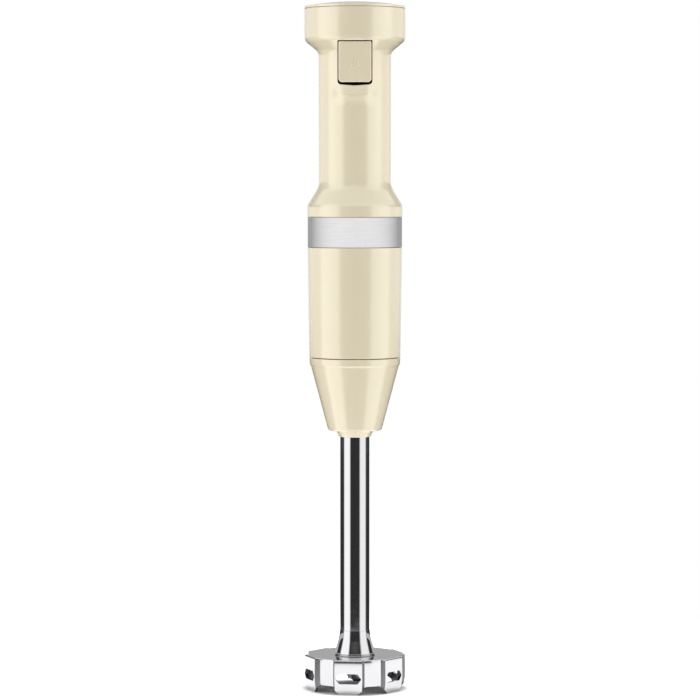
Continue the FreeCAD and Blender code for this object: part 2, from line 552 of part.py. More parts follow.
# ---------------------------------------------------------------- motor, fixed parts
can_wall = 1.2
motor_can = lathe([
    (4.2, MOTOR_Z - 2.5),
    (BOSS_R - 0.2, MOTOR_Z - 2.5),
    (BOSS_R - 0.2, MOTOR_Z),
    (MOTOR_R, MOTOR_Z, 1.5),
    (MOTOR_R, MOTOR_TOP_Z),
    (MOTOR_R - can_wall, MOTOR_TOP_Z),
    (MOTOR_R - can_wall, MOTOR_Z + can_wall),
    (4.2, MOTOR_Z + can_wall),
])
motor_screw_xs = (-MOTOR_SCREW_R, MOTOR_SCREW_R)
motor_can = motor_can.cut([Part.makeCylinder(1.25, 4, V(x, 0, MOTOR_Z - 1)) for x in motor_screw_xs])
vent = slab(rectangle(2.2, 2.5, MOTOR_Z + 5.5, 1.0), -MOTOR_R - 1, 0)
motor_can = motor_can.cut(around(vent, 6, 30))
save("motor_can", motor_can)

end_bell = lathe([
    (4.2, MOTOR_TOP_Z + 4.6),
    (BOSS_R, MOTOR_TOP_Z + 4.6),
    (BOSS_R, MOTOR_TOP_Z + 2.6),
    (MOTOR_R, MOTOR_TOP_Z + 2.6, 1.0),
    (MOTOR_R, MOTOR_TOP_Z),
    (MOTOR_R - can_wall - 0.1, MOTOR_TOP_Z),
    (MOTOR_R - can_wall - 0.1, MOTOR_TOP_Z - 2.5),
    (11.5, MOTOR_TOP_Z - 2.5),
    (11.5, MOTOR_TOP_Z + 0.8),
    (4.2, MOTOR_TOP_Z + 0.8),
])
save("motor_end_bell", end_bell)

field_z = MOTOR_Z + 10.0
magnets = [sector(13.7, MOTOR_R - can_wall, field_z, field_z + 30, a, 130) for a in (0, 180)]
save("field_magnets", Part.makeCompound(magnets))

bearing_low = ring(SHAFT_R + RUNNING, 4.2, MOTOR_Z - 2.5, MOTOR_Z + 1.0)
bearing_top = ring(SHAFT_R + RUNNING, 4.2, MOTOR_TOP_Z + 0.9, MOTOR_TOP_Z + 4.6)
save("motor_bearings", Part.makeCompound([bearing_low, bearing_top]))

COMM_R = 4.6
COMM_Z = MOTOR_TOP_Z - 9.0
brush = block(COMM_R + 0.1, COMM_R + 5.6, -1.8, 1.8, COMM_Z + 1.0, COMM_Z + 5.6)
holder = block(COMM_R + 1.2, 14.0, -2.8, 2.8, COMM_Z + 0.2, COMM_Z + 6.4)
holder = holder.cut(block(0, COMM_R + 8.0, -1.85, 1.85, COMM_Z + 0.95, COMM_Z + 5.65))
save("brushes", Part.makeCompound([brush, turned(brush, 180)]))
holder_post = block(11.6, 14.0, -2.8, 2.8, COMM_Z + 0.2, MOTOR_TOP_Z - 2.5)
brush_holder = joined(holder, holder_post)
terminal = block(8.6, 11.4, -0.3, 0.3, COMM_Z + 6.4, MOTOR_TOP_Z + 0.75)
save("brush_holders", Part.makeCompound([brush_holder, turned(brush_holder, 180)]))

motor_damper = lathe([
    (MOTOR_R + 0.05, CAGE_Z),
    (DAMPER_R, CAGE_Z),
    (DAMPER_R, CAGE_Z + 6.2),
    (DAMPER_R + 1.4, CAGE_Z + 6.2),
    (DAMPER_R + 1.4, CAGE_Z + 7.6, 0.6),
    (MOTOR_R + 0.05, CAGE_Z + 7.6),
])
save("motor_damper", motor_damper)

# ---------------------------------------------------------------- rotor
JAW_INNER, JAW_OUTER, JAW_SPAN = 3.4, 8.0, 50.0
JAW_MEET_Z = SEAM_Z + 7.4  # lower end of the motor's jaws
JAW_L = 6.0
jaw_hub_top = JAW_MEET_Z + JAW_L + 4.6
motor_shaft = Part.makeCylinder(SHAFT_R, MOTOR_TOP_Z + 5.6 - JAW_MEET_Z - 1.5, V(0, 0, JAW_MEET_Z + 1.5))
save("motor_shaft", motor_shaft)

CORE_R = 13.1
core_z, core_l = MOTOR_Z + 12.0, 24.0
tooth = block(2.0, 10.5, -1.9, 1.9, core_z, core_z + core_l)
shoe = sector(10.2, CORE_R, core_z, core_z + core_l, 0, 60)
core = ring(0, 5.0, core_z, core_z + core_l)
core = joined(core, *around(tooth, 5), *around(shoe, 5))
core = core.cut(Part.makeCylinder(SHAFT_R, core_l + 2, V(0, 0, core_z - 1)))
save("armature_core", core)

bulge = 3.4
coil_outer = block(5.4, 10.0, -3.9, 3.9, core_z - bulge, core_z + core_l + bulge)
coil_inner = block(5.3, 10.1, -2.0, 2.0, core_z - 0.1, core_z + core_l + 0.1)
long_edges = [e for e in coil_outer.Edges if abs((e.Vertexes[0].Point - e.Vertexes[1].Point).x) > 4]
coil = coil_outer.makeFillet(1.2, long_edges)
coil = coil.cut(coil_inner).common(sector(5.3, 10.05, core_z - 6, core_z + core_l + 6, 0, 70))
save("armature_windings", Part.makeCompound(around(coil, 5)))

segment = sector(SHAFT_R + 0.9, COMM_R, COMM_Z, COMM_Z + 6.6, 0, 66)
commutator_hub = ring(SHAFT_R, SHAFT_R + 0.9, COMM_Z - 1.0, COMM_Z + 7.0)
save("commutator", joined(commutator_hub, *around(segment, 5)))

fan_z = MOTOR_Z + 2.0
fan_hub = ring(SHAFT_R, 4.4, fan_z, fan_z + 5.6)
fan_disc = ring(4.0, 12.6, fan_z + 4.8, fan_z + 5.6)
fan_blade = block(4.0, 12.6, -0.45, 0.45, fan_z, fan_z + 5.0)
save("cooling_fan", joined(fan_hub, fan_disc, *around(fan_blade, 9)))


def jaws(low, high, first_deg):
    return [sector(JAW_INNER, JAW_OUTER, low, high, first_deg + 180 * i, JAW_SPAN) for i in range(2)]


drive_hub = ring(SHAFT_R, JAW_OUTER, JAW_MEET_Z + JAW_L, jaw_hub_top)
save("drive_jaw", joined(drive_hub, *jaws(JAW_MEET_Z, JAW_MEET_Z + JAW_L + 0.5, 0)))

# ---------------------------------------------------------------- lock ring that turns with the arm
dog_gap, dog_span = 0.8, 7.0
lock_ring_z = LUG_TOP_Z + MOVING
lock_annulus = ring(SPIGOT_R + MOVING, LUG_R + 0.1, lock_ring_z, lock_ring_z + 3.4)
dogs = []
for i in range(LUG_COUNT):
    for side in (-1, 1):
        centre = 90 + 120 * i + side * (LUG_SPAN / 2 + dog_gap + dog_span / 2)
        dog_z = LUG_TOP_Z - LUG_H
        dogs.append(sector(SPIGOT_R + MOVING, LUG_R + 0.1, dog_z, lock_ring_z + 1, centre, dog_span))
save("lock_ring", joined(lock_annulus, *dogs))

# ---------------------------------------------------------------- blending arm: collar, core and tube
COLLAR_TOP_R = SLEEVE_LOW_R - 0.05
CONE_SLOPE = 0.2685
cone_top_z = SEAM_Z - 5.2
cone_top_r = COLLAR_TOP_R - 1.05
cone_low_r = cone_top_r - CONE_SLOPE * (cone_top_z - CONE_BOTTOM_Z - 0.6)
NOSE_Z = CONE_BOTTOM_Z - 3.6
CORE_WALL = 1.8
collar_shell = lathe([
    (TUBE_R + 0.1, NOSE_Z),
    (TUBE_R + 0.5, NOSE_Z, 0.3),
    (TUBE_R + 2.2, CONE_BOTTOM_Z - 0.3, 0.3),
    (cone_low_r, CONE_BOTTOM_Z + 0.4, 1.8),
    (cone_top_r, cone_top_z, 0.4),
    (COLLAR_TOP_R - 0.3, SEAM_Z - 4.0, 0.3),
    (COLLAR_TOP_R, SEAM_Z - JOINT_GAP, 0.4),
    (COLLAR_TOP_R - CORE_WALL, SEAM_Z - JOINT_GAP),
    (COLLAR_TOP_R - CORE_WALL, SEAM_Z - 4.6),
    (cone_top_r - CORE_WALL, cone_top_z - 1.0),
    (cone_low_r - CORE_WALL, CONE_BOTTOM_Z + 3.0),
    (TUBE_R + 0.1, CONE_BOTTOM_Z + 1.4),
])

DRIVE_R = 3.0
BEARING_R = 8.0
ARM_BEARING_Z = SEAM_Z - 9.0
SPIGOT_TOP_Z = LUG_TOP_Z + 4.0
WELL_R = 12.0
collar_fit = COLLAR_TOP_R - CORE_WALL - 0.1
seal_z = SEAM_Z + 3.0
arm_core = lathe([
    (TUBE_R + 0.05, CONE_BOTTOM_Z + 4.0),
    (TUBE_R + 2.6, CONE_BOTTOM_Z + 4.0),
    (TUBE_R + 2.6, SEAM_Z - 16.0),
    (BEARING_R + 3.0, SEAM_Z - 12.0),
    (BEARING_R + 3.0, SEAM_Z - 4.0),
    (collar_fit, SEAM_Z - 4.0),
    (collar_fit, SEAM_Z - 0.4),
    (SPIGOT_R, SEAM_Z - 0.4),
    (SPIGOT_R, seal_z - 1.3),
    (SPIGOT_R - 0.9, seal_z - 1.3),
    (SPIGOT_R - 0.9, seal_z + 1.3),
    (SPIGOT_R, seal_z + 1.3),
    (SPIGOT_R, SPIGOT_TOP_Z, 0.6),
    (WELL_R, SPIGOT_TOP_Z, 0.6),
    (WELL_R, SEAM_Z + 1.0),
    (BEARING_R, SEAM_Z + 1.0),
    (BEARING_R, ARM_BEARING_Z),
    (DRIVE_R + 1.5, ARM_BEARING_Z),
    (DRIVE_R + 1.5, TUBE_TOP_Z + 0.05),
    (TUBE_R + 0.05, TUBE_TOP_Z + 0.05),
])
lug = sector(SPIGOT_R - 1.0, LUG_R, LUG_TOP_Z - LUG_H, LUG_TOP_Z, 90, LUG_SPAN)
arm_core = joined(arm_core, *around(lug, LUG_COUNT))
collar_screw_r = collar_fit - 3.2
screw_spots = [turned(Part.Vertex(collar_screw_r, 0, 0), 30 + 120 * i).Point for i in range(3)]
for spot in screw_spots:
    arm_core = arm_core.cut(Part.makeCylinder(1.15, 8, V(spot.x, spot.y, SEAM_Z - 6)))
    arm_core = arm_core.cut(Part.makeCylinder(2.35, 4, V(spot.x, spot.y, SEAM_Z - 2.0)))
    collar_shell = collar_shell.fuse(Part.makeCylinder(2.5, 5.0, V(spot.x, spot.y, SEAM_Z - 9.0)))
    collar_shell = collar_shell.cut(Part.makeCylinder(1.1, 8, V(spot.x, spot.y, SEAM_Z - 8.4)))
save("arm_core", arm_core)
save("collar_shell", collar_shell)

arm_seal = Part.makeTorus(SPIGOT_R + 1.0, 1.25, V(0, 0, seal_z), UP)
save("arm_seal", arm_seal.cut(ring(0, SPIGOT_R - 0.85, seal_z - 3, seal_z + 3)))

tube_low_z = GUARD_H + 3.4
shaft_tube = ring(TUBE_R - 0.6, TUBE_R, tube_low_z, TUBE_TOP_Z)
save("shaft_tube", shaft_tube)

race_in = ring(DRIVE_R + RUNNING, DRIVE_R + 1.5, ARM_BEARING_Z + 0.05, ARM_BEARING_Z + 5.0)
race_out = ring(BEARING_R - 1.4, BEARING_R, ARM_BEARING_Z + 0.05, ARM_BEARING_Z + 5.0)
shield = ring(DRIVE_R + 1.5, BEARING_R - 1.4, ARM_BEARING_Z + 0.5, ARM_BEARING_Z + 4.5)
save("arm_bearing", joined(race_in, race_out, shield))
bearing_clip = ring(BEARING_R - 1.6, BEARING_R, ARM_BEARING_Z + 5.1, ARM_BEARING_Z + 6.2)
save("bearing_clip", bearing_clip.cut(block(0, 12, -2, 2, 0, TOTAL_H)))

guide_zs = (GUARD_H + 44.0, GUARD_H + 90.0)
guides = [ring(DRIVE_R + RUNNING, TUBE_R - 0.65, z, z + 7.0) for z in guide_zs]
save("shaft_guides", Part.makeCompound(guides))

# ---------------------------------------------------------------- blade guard with its neck
GUARD_TURN = -7.7  # the slots are turned this far from square to the trigger
FACET_R, FACET_HALF = GUARD_R - 0.85, 7.4
PANEL_R, PANEL_HALF_DEG = GUARD_R - 1.85, 10.6
CHEEK_R, CHEEK_DEG = GUARD_R - 1.4, 16.2  # a point half way along the hollow side of a lobe
GUARD_SIDES = 6
GUARD_SKIN = 0.94  # the inner outline as a share of the outer one


def guard_outline(scale, z):
    """Six lobes with flat faces, and between them six rounded panels that lie further in."""
    step = 360.0 / GUARD_SIDES

    def at(radius, degrees):
        a = math.radians(degrees)
        return V(radius * scale * math.cos(a), radius * scale * math.sin(a), z)

    corner_r = math.hypot(FACET_HALF, FACET_R)
    corner_deg = math.degrees(math.atan2(FACET_HALF, FACET_R))
    panel_deg = step / 2 - PANEL_HALF_DEG
    edges = []
    for i in range(GUARD_SIDES):
        base = -90 + GUARD_TURN + step * i
        left, right = at(corner_r, base - corner_deg), at(corner_r, base + corner_deg)
        panel_from, panel_to = at(PANEL_R, base + panel_deg), at(PANEL_R, base + step - panel_deg)
        next_left = at(corner_r, base + step - corner_deg)
        edges.append(Part.LineSegment(left, right))
        edges.append(Part.Arc(right, at(CHEEK_R, base + CHEEK_DEG), panel_from))
        edges.append(Part.Arc(panel_from, at(PANEL_R + 0.2, base + step / 2), panel_to))
        edges.append(Part.Arc(panel_to, at(CHEEK_R, base + step - CHEEK_DEG), next_left))
    return Part.Face(Part.Wire([edge.toShape() for edge in edges]))


GUARD_TOP_WALL = 1.8
barrel = lathe([
    (0, 0),
    (GUARD_R - 1.3, 0),
    (GUARD_R + 0.25, GUARD_H * 0.45, 30),
    (GUARD_R + 0.05, GUARD_H, 1.1),
    (0, GUARD_H),
])
guard_outer = guard_outline(1.0, 0).extrude(V(0, 0, GUARD_H)).common(barrel)
guard_inner = guard_outline(GUARD_SKIN, -1).extrude(V(0, 0, GUARD_H - GUARD_TOP_WALL + 1))
inner_round = lathe([
    (0, -2),
    (GUARD_R, -2),
    (GUARD_R, 3),
    (GUARD_R - 1.9, GUARD_H - GUARD_TOP_WALL, 3.0),
    (0, GUARD_H - GUARD_TOP_WALL),
])
guard = guard_outer.cut(guard_inner.common(inner_round))

NECK_R = TUBE_R + 0.25
HUB_R, HUB_LOW_Z = 7.2, 13.4
neck = lathe([
    (HUB_R - 1.2, HUB_LOW_Z),
    (HUB_R, HUB_LOW_Z, 0.4),
    (HUB_R, GUARD_H - 2.5, 1.0),
    (NECK_R + 2.0, GUARD_H - 1.0),
    (NECK_R + 2.6, GUARD_H),
    (NECK_R + 3.0, GUARD_H + 0.4, 0.4),
    (NECK_R, GUARD_H + 11.6, 20.0),
    (NECK_R, NECK_TOP_Z),
    (TUBE_R + 0.02, NECK_TOP_Z),
    (TUBE_R + 0.02, tube_low_z - 0.05),
    (HUB_R - 1.2, tube_low_z - 0.05),
])
guard = guard.fuse(neck).cut(ring(0, HUB_R - 1.2, -1, tube_low_z))

SLOT_Z, SLOT_W, SLOT_H = 9.7, 16.4, 6.0
slot_half_w, slot_half_h, slot_cut = SLOT_W / 2, SLOT_H / 2, 2.3
slot_corners = [
    (-slot_half_w + slot_cut, SLOT_Z - slot_half_h, 0.8),
    (slot_half_w - slot_cut, SLOT_Z - slot_half_h, 0.8),
    (slot_half_w, SLOT_Z, 0.8),
    (slot_half_w - slot_cut, SLOT_Z + slot_half_h, 0.8),
    (-slot_half_w + slot_cut, SLOT_Z + slot_half_h, 0.8),
    (-slot_half_w, SLOT_Z, 0.8),
]
slot = slab(slot_corners, -GUARD_R - 2, -GUARD_R + 8)
ARCH_H, ARCH_TOP_HALF, ARCH_LOW_HALF = 4.9, 4.6, 10.4
arch_corners = [
    (-ARCH_LOW_HALF, -0.5),
    (ARCH_LOW_HALF, -0.5),
    (ARCH_TOP_HALF, ARCH_H, 2.5),
    (-ARCH_TOP_HALF, ARCH_H, 2.5),
]
arch = slab(arch_corners, -GUARD_R - 2, -GUARD_R + 9)
arch_turn = GUARD_TURN + 180.0 / GUARD_SIDES
guard = guard.cut(around(slot, GUARD_SIDES, GUARD_TURN) + around(arch, GUARD_SIDES, arch_turn))
guard = guard.removeSplitter()
save("blade_guard", guard)

lower_bearing = ring(DRIVE_R + RUNNING, HUB_R - 1.2, HUB_LOW_Z + 2.2, tube_low_z - 0.1)
save("lower_bearing", lower_bearing)
lip_seal = lathe([
    (DRIVE_R + 0.12, HUB_LOW_Z - 0.2),
    (DRIVE_R + 1.0, HUB_LOW_Z - 0.8),
    (HUB_R - 1.2, HUB_LOW_Z - 0.2),
    (HUB_R - 1.2, HUB_LOW_Z + 2.1),
    (DRIVE_R + 0.6, HUB_LOW_Z + 2.1),
])
save("lip_seal", lip_seal)

# ---------------------------------------------------------------- drive shaft and blade
SHAFT_LOW_Z = 6.4
BLADE_Z, BLADE_T = 9.6, 1.2
jaw_hub_low = JAW_MEET_Z - 0.3 - 4.8
drive_shaft = Part.makeCylinder(DRIVE_R, jaw_hub_low + 4.0 - SHAFT_LOW_Z, V(0, 0, SHAFT_LOW_Z))
clip_groove_z = ARM_BEARING_Z + 5.3
drive_shaft = drive_shaft.cut(ring(DRIVE_R - 0.4, DRIVE_R + 1, clip_groove_z, clip_groove_z + 0.8))
drive_shaft = drive_shaft.cut(ring(2.2, DRIVE_R + 1, SHAFT_LOW_Z - 1, BLADE_Z + BLADE_T))
save("drive_shaft", drive_shaft)

shaft_clip = ring(DRIVE_R - 0.38, DRIVE_R + 1.6, clip_groove_z + 0.05, clip_groove_z + 0.75)
save("shaft_clip", shaft_clip.cut(block(0, 10, -0.8, 0.8, 0, TOTAL_H)))

arm_jaw_hub = ring(0, JAW_OUTER, jaw_hub_low + 1.0, JAW_MEET_Z - 0.3)
arm_jaw_hub = arm_jaw_hub.cut(Part.makeCylinder(DRIVE_R, 3.05, V(0, 0, jaw_hub_low + 0.95)))
save("arm_jaw", joined(arm_jaw_hub, *jaws(JAW_MEET_Z - 0.8, JAW_MEET_Z + JAW_L - 0.3, 90)))

BLADE_TIP_R = 22.5


def blade_wing(lift):
    """One wing: flat at the root, bent up or down by lift, swept and ground towards its tip."""
    root_half, tip_half, knee = 3.9, 2.3, 8.5
    flat = block(0, knee, -root_half, root_half, BLADE_Z, BLADE_Z + BLADE_T)
    corners = [
        V(knee, -root_half, 0),
        V(BLADE_TIP_R - 2.4, -tip_half, 0),
        V(BLADE_TIP_R, 0.6, 0),
        V(BLADE_TIP_R - 3.4, tip_half + 0.8, 0),
        V(knee, root_half, 0),
    ]
    outline = Part.Face(Part.makePolygon(corners + corners[:1]))
    wing = outline.extrude(V(0, 0, BLADE_T))
    wing.translate(V(0, 0, BLADE_Z))
    wing.rotate(V(knee, 0, BLADE_Z + BLADE_T / 2), V(0, 1, 0), -lift)
    return flat.fuse(wing)


wings = [turned(blade_wing(lift), 24 + 90 * i) for i, lift in enumerate((15, -14, 15, -14))]
blade_disc = ring(0, 5.4, BLADE_Z, BLADE_Z + BLADE_T)
blade = joined(blade_disc, *wings).cut(Part.makeCylinder(2.2, 6, V(0, 0, BLADE_Z - 2)))
save("blade", blade)

NUT_R, NUT_LOW_Z = 4.2, SHAFT_LOW_Z - 0.4
nut_turns = [math.radians(60 * i) for i in range(7)]
nut_hex = Part.makePolygon([V(NUT_R * math.cos(a), NUT_R * math.sin(a), NUT_LOW_Z) for a in nut_turns])
blade_nut = Part.Face(nut_hex).extrude(V(0, 0, BLADE_Z - NUT_LOW_Z))
save("blade_nut", blade_nut.cut(ring(0, 2.2, NUT_LOW_Z - 1, BLADE_Z + 1)))

# ---------------------------------------------------------------- fasteners
cap_screw = bolt(0, TAB_Y, TAB_Z + 2.8, TAB_Z - 5.5, 1.1, 2.4, 1.6)
save("cap_screws", Part.makeCompound([turned(cap_screw, a) for a in rear_turns + front_turns]))

skirt_screws = []
for angle in boss_turns:
    head = Part.makeCylinder(1.55, 1.2, V(0, SKIRT_R - 0.35, SHELL_SCREW_Z), V(0, -1, 0))
    shank = Part.makeCylinder(1.1, 6.0, V(0, SKIRT_R - 0.4, SHELL_SCREW_Z), V(0, -1, 0))
    skirt_screws.append(turned(head.fuse(shank), angle))
save("skirt_screws", Part.makeCompound(skirt_screws))

socket_screws = []
for i in range(3):
    spot = turned(Part.Vertex(SCREW_CIRCLE, 0, 0), 90 + 120 * i).Point
    socket_screws.append(bolt(spot.x, spot.y, BULKHEAD_Z + 0.3, MOTOR_Z + 7.0, 1.1, 2.2, 1.6))
save("socket_screws", Part.makeCompound(socket_screws))

motor_screws = [bolt(x, 0, BULKHEAD_Z + 0.3, MOTOR_Z + 1.2, 1.2, 2.8, 1.7) for x in motor_screw_xs]
save("motor_screws", Part.makeCompound(motor_screws))

collar_screws = [bolt(spot.x, spot.y, SEAM_Z - 0.5, SEAM_Z - 8.3, 1.1, 2.2, 1.5) for spot in screw_spots]
save("collar_screws", Part.makeCompound(collar_screws))

# ---------------------------------------------------------------- leads
LEAD_R = 0.75
LEAD_Y = -CELL_R - 1.5  # in front of the cells
LEAD_BEND = 4.0


def lead_pair(foot, run_x, out_x):
    """Two mirrored leads from their foot, up the front of the cells and into the terminals."""
    rise = [
        (run_x, LEAD_Y, CELL_TOP_Z - 12.0),
        (out_x, LEAD_Y - 0.1, CELL_TOP_Z + 1.2),
        (out_x, BOARD_Y - 2.6, TERMINAL_Z - 5.0),
        (out_x, BOARD_Y - 2.6, TERMINAL_Z),
    ]
    routes = [[V(side * x, y, z) for x, y, z in foot + rise] for side in (-1, 1)]
    return Part.makeCompound([bent_tube(route, LEAD_R, LEAD_BEND) for route in routes])


brush_foot = [(8.0, -1.0, MOTOR_TOP_Z + 2.6), (8.0, -1.0, CELL_Z - 13.0), (4.6, LEAD_Y, CELL_Z - 3.0)]
save("motor_leads", lead_pair(brush_foot, 4.6, 10.6))
strap_foot = [(4.4, -1.0, CELL_Z - strap_t - LEAD_R), (1.5, LEAD_Y, CELL_Z - strap_t - LEAD_R)]
save("battery_leads", lead_pair(strap_foot, 1.5, 8.3))
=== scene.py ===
import json
import math

import bmesh
import bpy
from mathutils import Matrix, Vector


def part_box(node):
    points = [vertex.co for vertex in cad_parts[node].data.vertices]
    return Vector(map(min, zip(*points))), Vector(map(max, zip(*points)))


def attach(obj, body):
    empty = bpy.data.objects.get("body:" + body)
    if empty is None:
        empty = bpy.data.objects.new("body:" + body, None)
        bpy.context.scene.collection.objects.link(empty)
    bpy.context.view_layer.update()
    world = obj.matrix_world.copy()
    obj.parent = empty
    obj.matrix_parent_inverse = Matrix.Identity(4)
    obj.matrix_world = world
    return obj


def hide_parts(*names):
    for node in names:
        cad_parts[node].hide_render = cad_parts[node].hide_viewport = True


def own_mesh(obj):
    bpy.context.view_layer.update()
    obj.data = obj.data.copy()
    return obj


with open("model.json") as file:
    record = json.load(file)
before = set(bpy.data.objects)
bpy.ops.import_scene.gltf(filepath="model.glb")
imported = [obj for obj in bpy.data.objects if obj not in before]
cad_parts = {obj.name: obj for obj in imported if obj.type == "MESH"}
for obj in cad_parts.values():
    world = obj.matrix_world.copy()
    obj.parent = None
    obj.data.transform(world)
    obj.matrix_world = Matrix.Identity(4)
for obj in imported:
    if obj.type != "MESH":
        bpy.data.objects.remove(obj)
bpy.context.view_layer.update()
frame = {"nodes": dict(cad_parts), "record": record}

MM = 0.001

# ------------------------------------------------------------------------------------------------
# Camera, floor and light. The blender stands on a pale sweep, lit by two tall soft panels at its
# sides and a soft overhead fill. It is the battery kind, so there is no cord.
# ------------------------------------------------------------------------------------------------
camera_data = bpy.data.cameras.new("camera")
camera_data.lens = 159.7
camera_data.sensor_width = 36.0
camera_data.clip_start = 0.1
camera_data.clip_end = 60.0
camera = bpy.data.objects.new("camera", camera_data)
camera.location = (-0.0029, -1.85, 0.295)
camera.rotation_euler = (math.radians(90.0 - 2.85), 0.0, 0.0)
bpy.context.scene.collection.objects.link(camera)
bpy.context.scene.camera = camera
bpy.context.scene.view_settings.view_transform = "Standard"


def wire(tree, source, target):
    tree.links.new(source, target)


def node(tree, kind, **settings):
    """Adds a shader or geometry node. Names of inputs are set with underscores for spaces."""
    made = tree.nodes.new(kind)
    for key, value in settings.items():
        if hasattr(made, key):
            setattr(made, key, value)
        else:
            made.inputs[key.replace("_", " ")].default_value = value
    return made


def sums(tree, operation, first, second=None, third=None, clamp=False):
    """One Math node. Its operands are sockets or plain numbers."""
    made = tree.nodes.new("ShaderNodeMath")
    made.operation = operation
    made.use_clamp = clamp
    for slot, value in zip(made.inputs, (first, second, third)):
        if isinstance(value, (int, float)):
            slot.default_value = value
        elif value is not None:
            wire(tree, value, slot)
    return made.outputs[0]


def between(tree, value, low, high, soft):
    """1 where value lies between low and high, with soft ends."""
    ends = []
    for edge in (low, high):
        ramp = node(tree, "ShaderNodeMapRange", From_Min=edge - soft, From_Max=edge + soft)
        ramp.interpolation_type = "SMOOTHSTEP"
        wire(tree, value, ramp.inputs["Value"])
        ends.append(ramp.outputs[0])
    return sums(tree, "MULTIPLY", ends[0], sums(tree, "SUBTRACT", 1.0, ends[1]))


def studio_world():
    """White behind the object, an even fill on matt surfaces, and two tall panels in what shines.

    The panels stand at a turn in degrees from straight ahead, positive to the right. Heights are
    those of a direction: -1 looks straight down, 0 level and 1 straight up.
    """
    left_glow, right_glow, flank_glow, top_glow = 1.72, 1.55, 0.75, 1.05
    far_wall_glow, low_wall_glow, shade_floor, matt_fill = 0.46, 0.3, 0.05, 0.575
    open_end = 9.0
    world = bpy.data.worlds.new("studio")
    world.use_nodes = True
    tree = world.node_tree
    tree.nodes.clear()
    place = node(tree, "ShaderNodeTexCoord")
    split = node(tree, "ShaderNodeSeparateXYZ")
    wire(tree, place.outputs["Generated"], split.inputs[0])
    turn = sums(tree, "ARCTAN2", split.outputs["X"], sums(tree, "MULTIPLY", split.outputs["Y"], -1.0))
    degrees = sums(tree, "MULTIPLY", turn, 180.0 / math.pi)
    height = split.outputs["Z"]
    side = sums(tree, "ABSOLUTE", degrees)
    panel_height = between(tree, height, -0.8, 0.72, 0.05)
    left = sums(tree, "MULTIPLY", between(tree, degrees, -93.0, -38.0, 6.0), left_glow)
    right = sums(tree, "MULTIPLY", between(tree, degrees, 40.0, 95.0, 7.0), right_glow)
    panels = sums(tree, "MULTIPLY", sums(tree, "ADD", left, right), panel_height)
    above = between(tree, height, -0.062, open_end, 0.008)
    low = between(tree, height, -0.062, 0.1, 0.01)
    wall = sums(tree, "MULTIPLY_ADD", low, low_wall_glow, sums(tree, "MULTIPLY", above, far_wall_glow))
    behind = sums(tree, "MULTIPLY", between(tree, side, 150.0, 999.0, 12.0), wall)
    beside = sums(tree, "MULTIPLY", between(tree, side, 80.0, 152.0, 12.0), low)
    behind = sums(tree, "MAXIMUM", behind, sums(tree, "MULTIPLY", beside, flank_glow))
    overhead = sums(tree, "MULTIPLY", between(tree, height, 0.46, open_end, 0.07), top_glow)
    brightest = sums(tree, "MAXIMUM", panels, sums(tree, "MAXIMUM", behind, overhead))
    shine = sums(tree, "ADD", brightest, shade_floor)
    path = node(tree, "ShaderNodeLightPath")
    keep = node(tree, "ShaderNodeMix", data_type="FLOAT")
    wire(tree, path.outputs["Is Glossy Ray"], keep.inputs["Factor"])
    keep.inputs["A"].default_value = matt_fill
    wire(tree, shine, keep.inputs["B"])
    seen = node(tree, "ShaderNodeMix", data_type="FLOAT")
    wire(tree, path.outputs["Is Camera Ray"], seen.inputs["Factor"])
    wire(tree, keep.outputs[0], seen.inputs["A"])
    seen.inputs["B"].default_value = 1.0
    background = node(tree, "ShaderNodeBackground", Color=(1.0, 1.0, 1.0, 1.0))
    wire(tree, seen.outputs[0], background.inputs["Strength"])
    wire(tree, background.outputs[0], node(tree, "ShaderNodeOutputWorld").inputs["Surface"])
    return world


bpy.context.scene.world = studio_world()

for light_name, spot, aim, width, power in (
    ("left_panel", (-1.65, -0.35, 0.7), (0.0, 0.0, 0.2), 1.2, 10.5),
    ("right_panel", (1.65, -0.3, 0.6), (0.0, 0.0, 0.2), 1.2, 8.5),
    ("overhead", (0.2, 0.3, 1.9), (0.0, 0.0, 0.1), 1.4, 9.0),
):
    lamp = bpy.data.lights.new(light_name, "AREA")
    lamp.shape = "SQUARE"
    lamp.size = width
    lamp.energy = power
    holder = bpy.data.objects.new(light_name, lamp)
    holder.location = spot
    holder.rotation_euler = (Vector(aim) - Vector(spot)).to_track_quat("-Z", "Y").to_euler()
    holder.visible_glossy = False
    holder.visible_camera = False
    bpy.context.scene.collection.objects.link(holder)


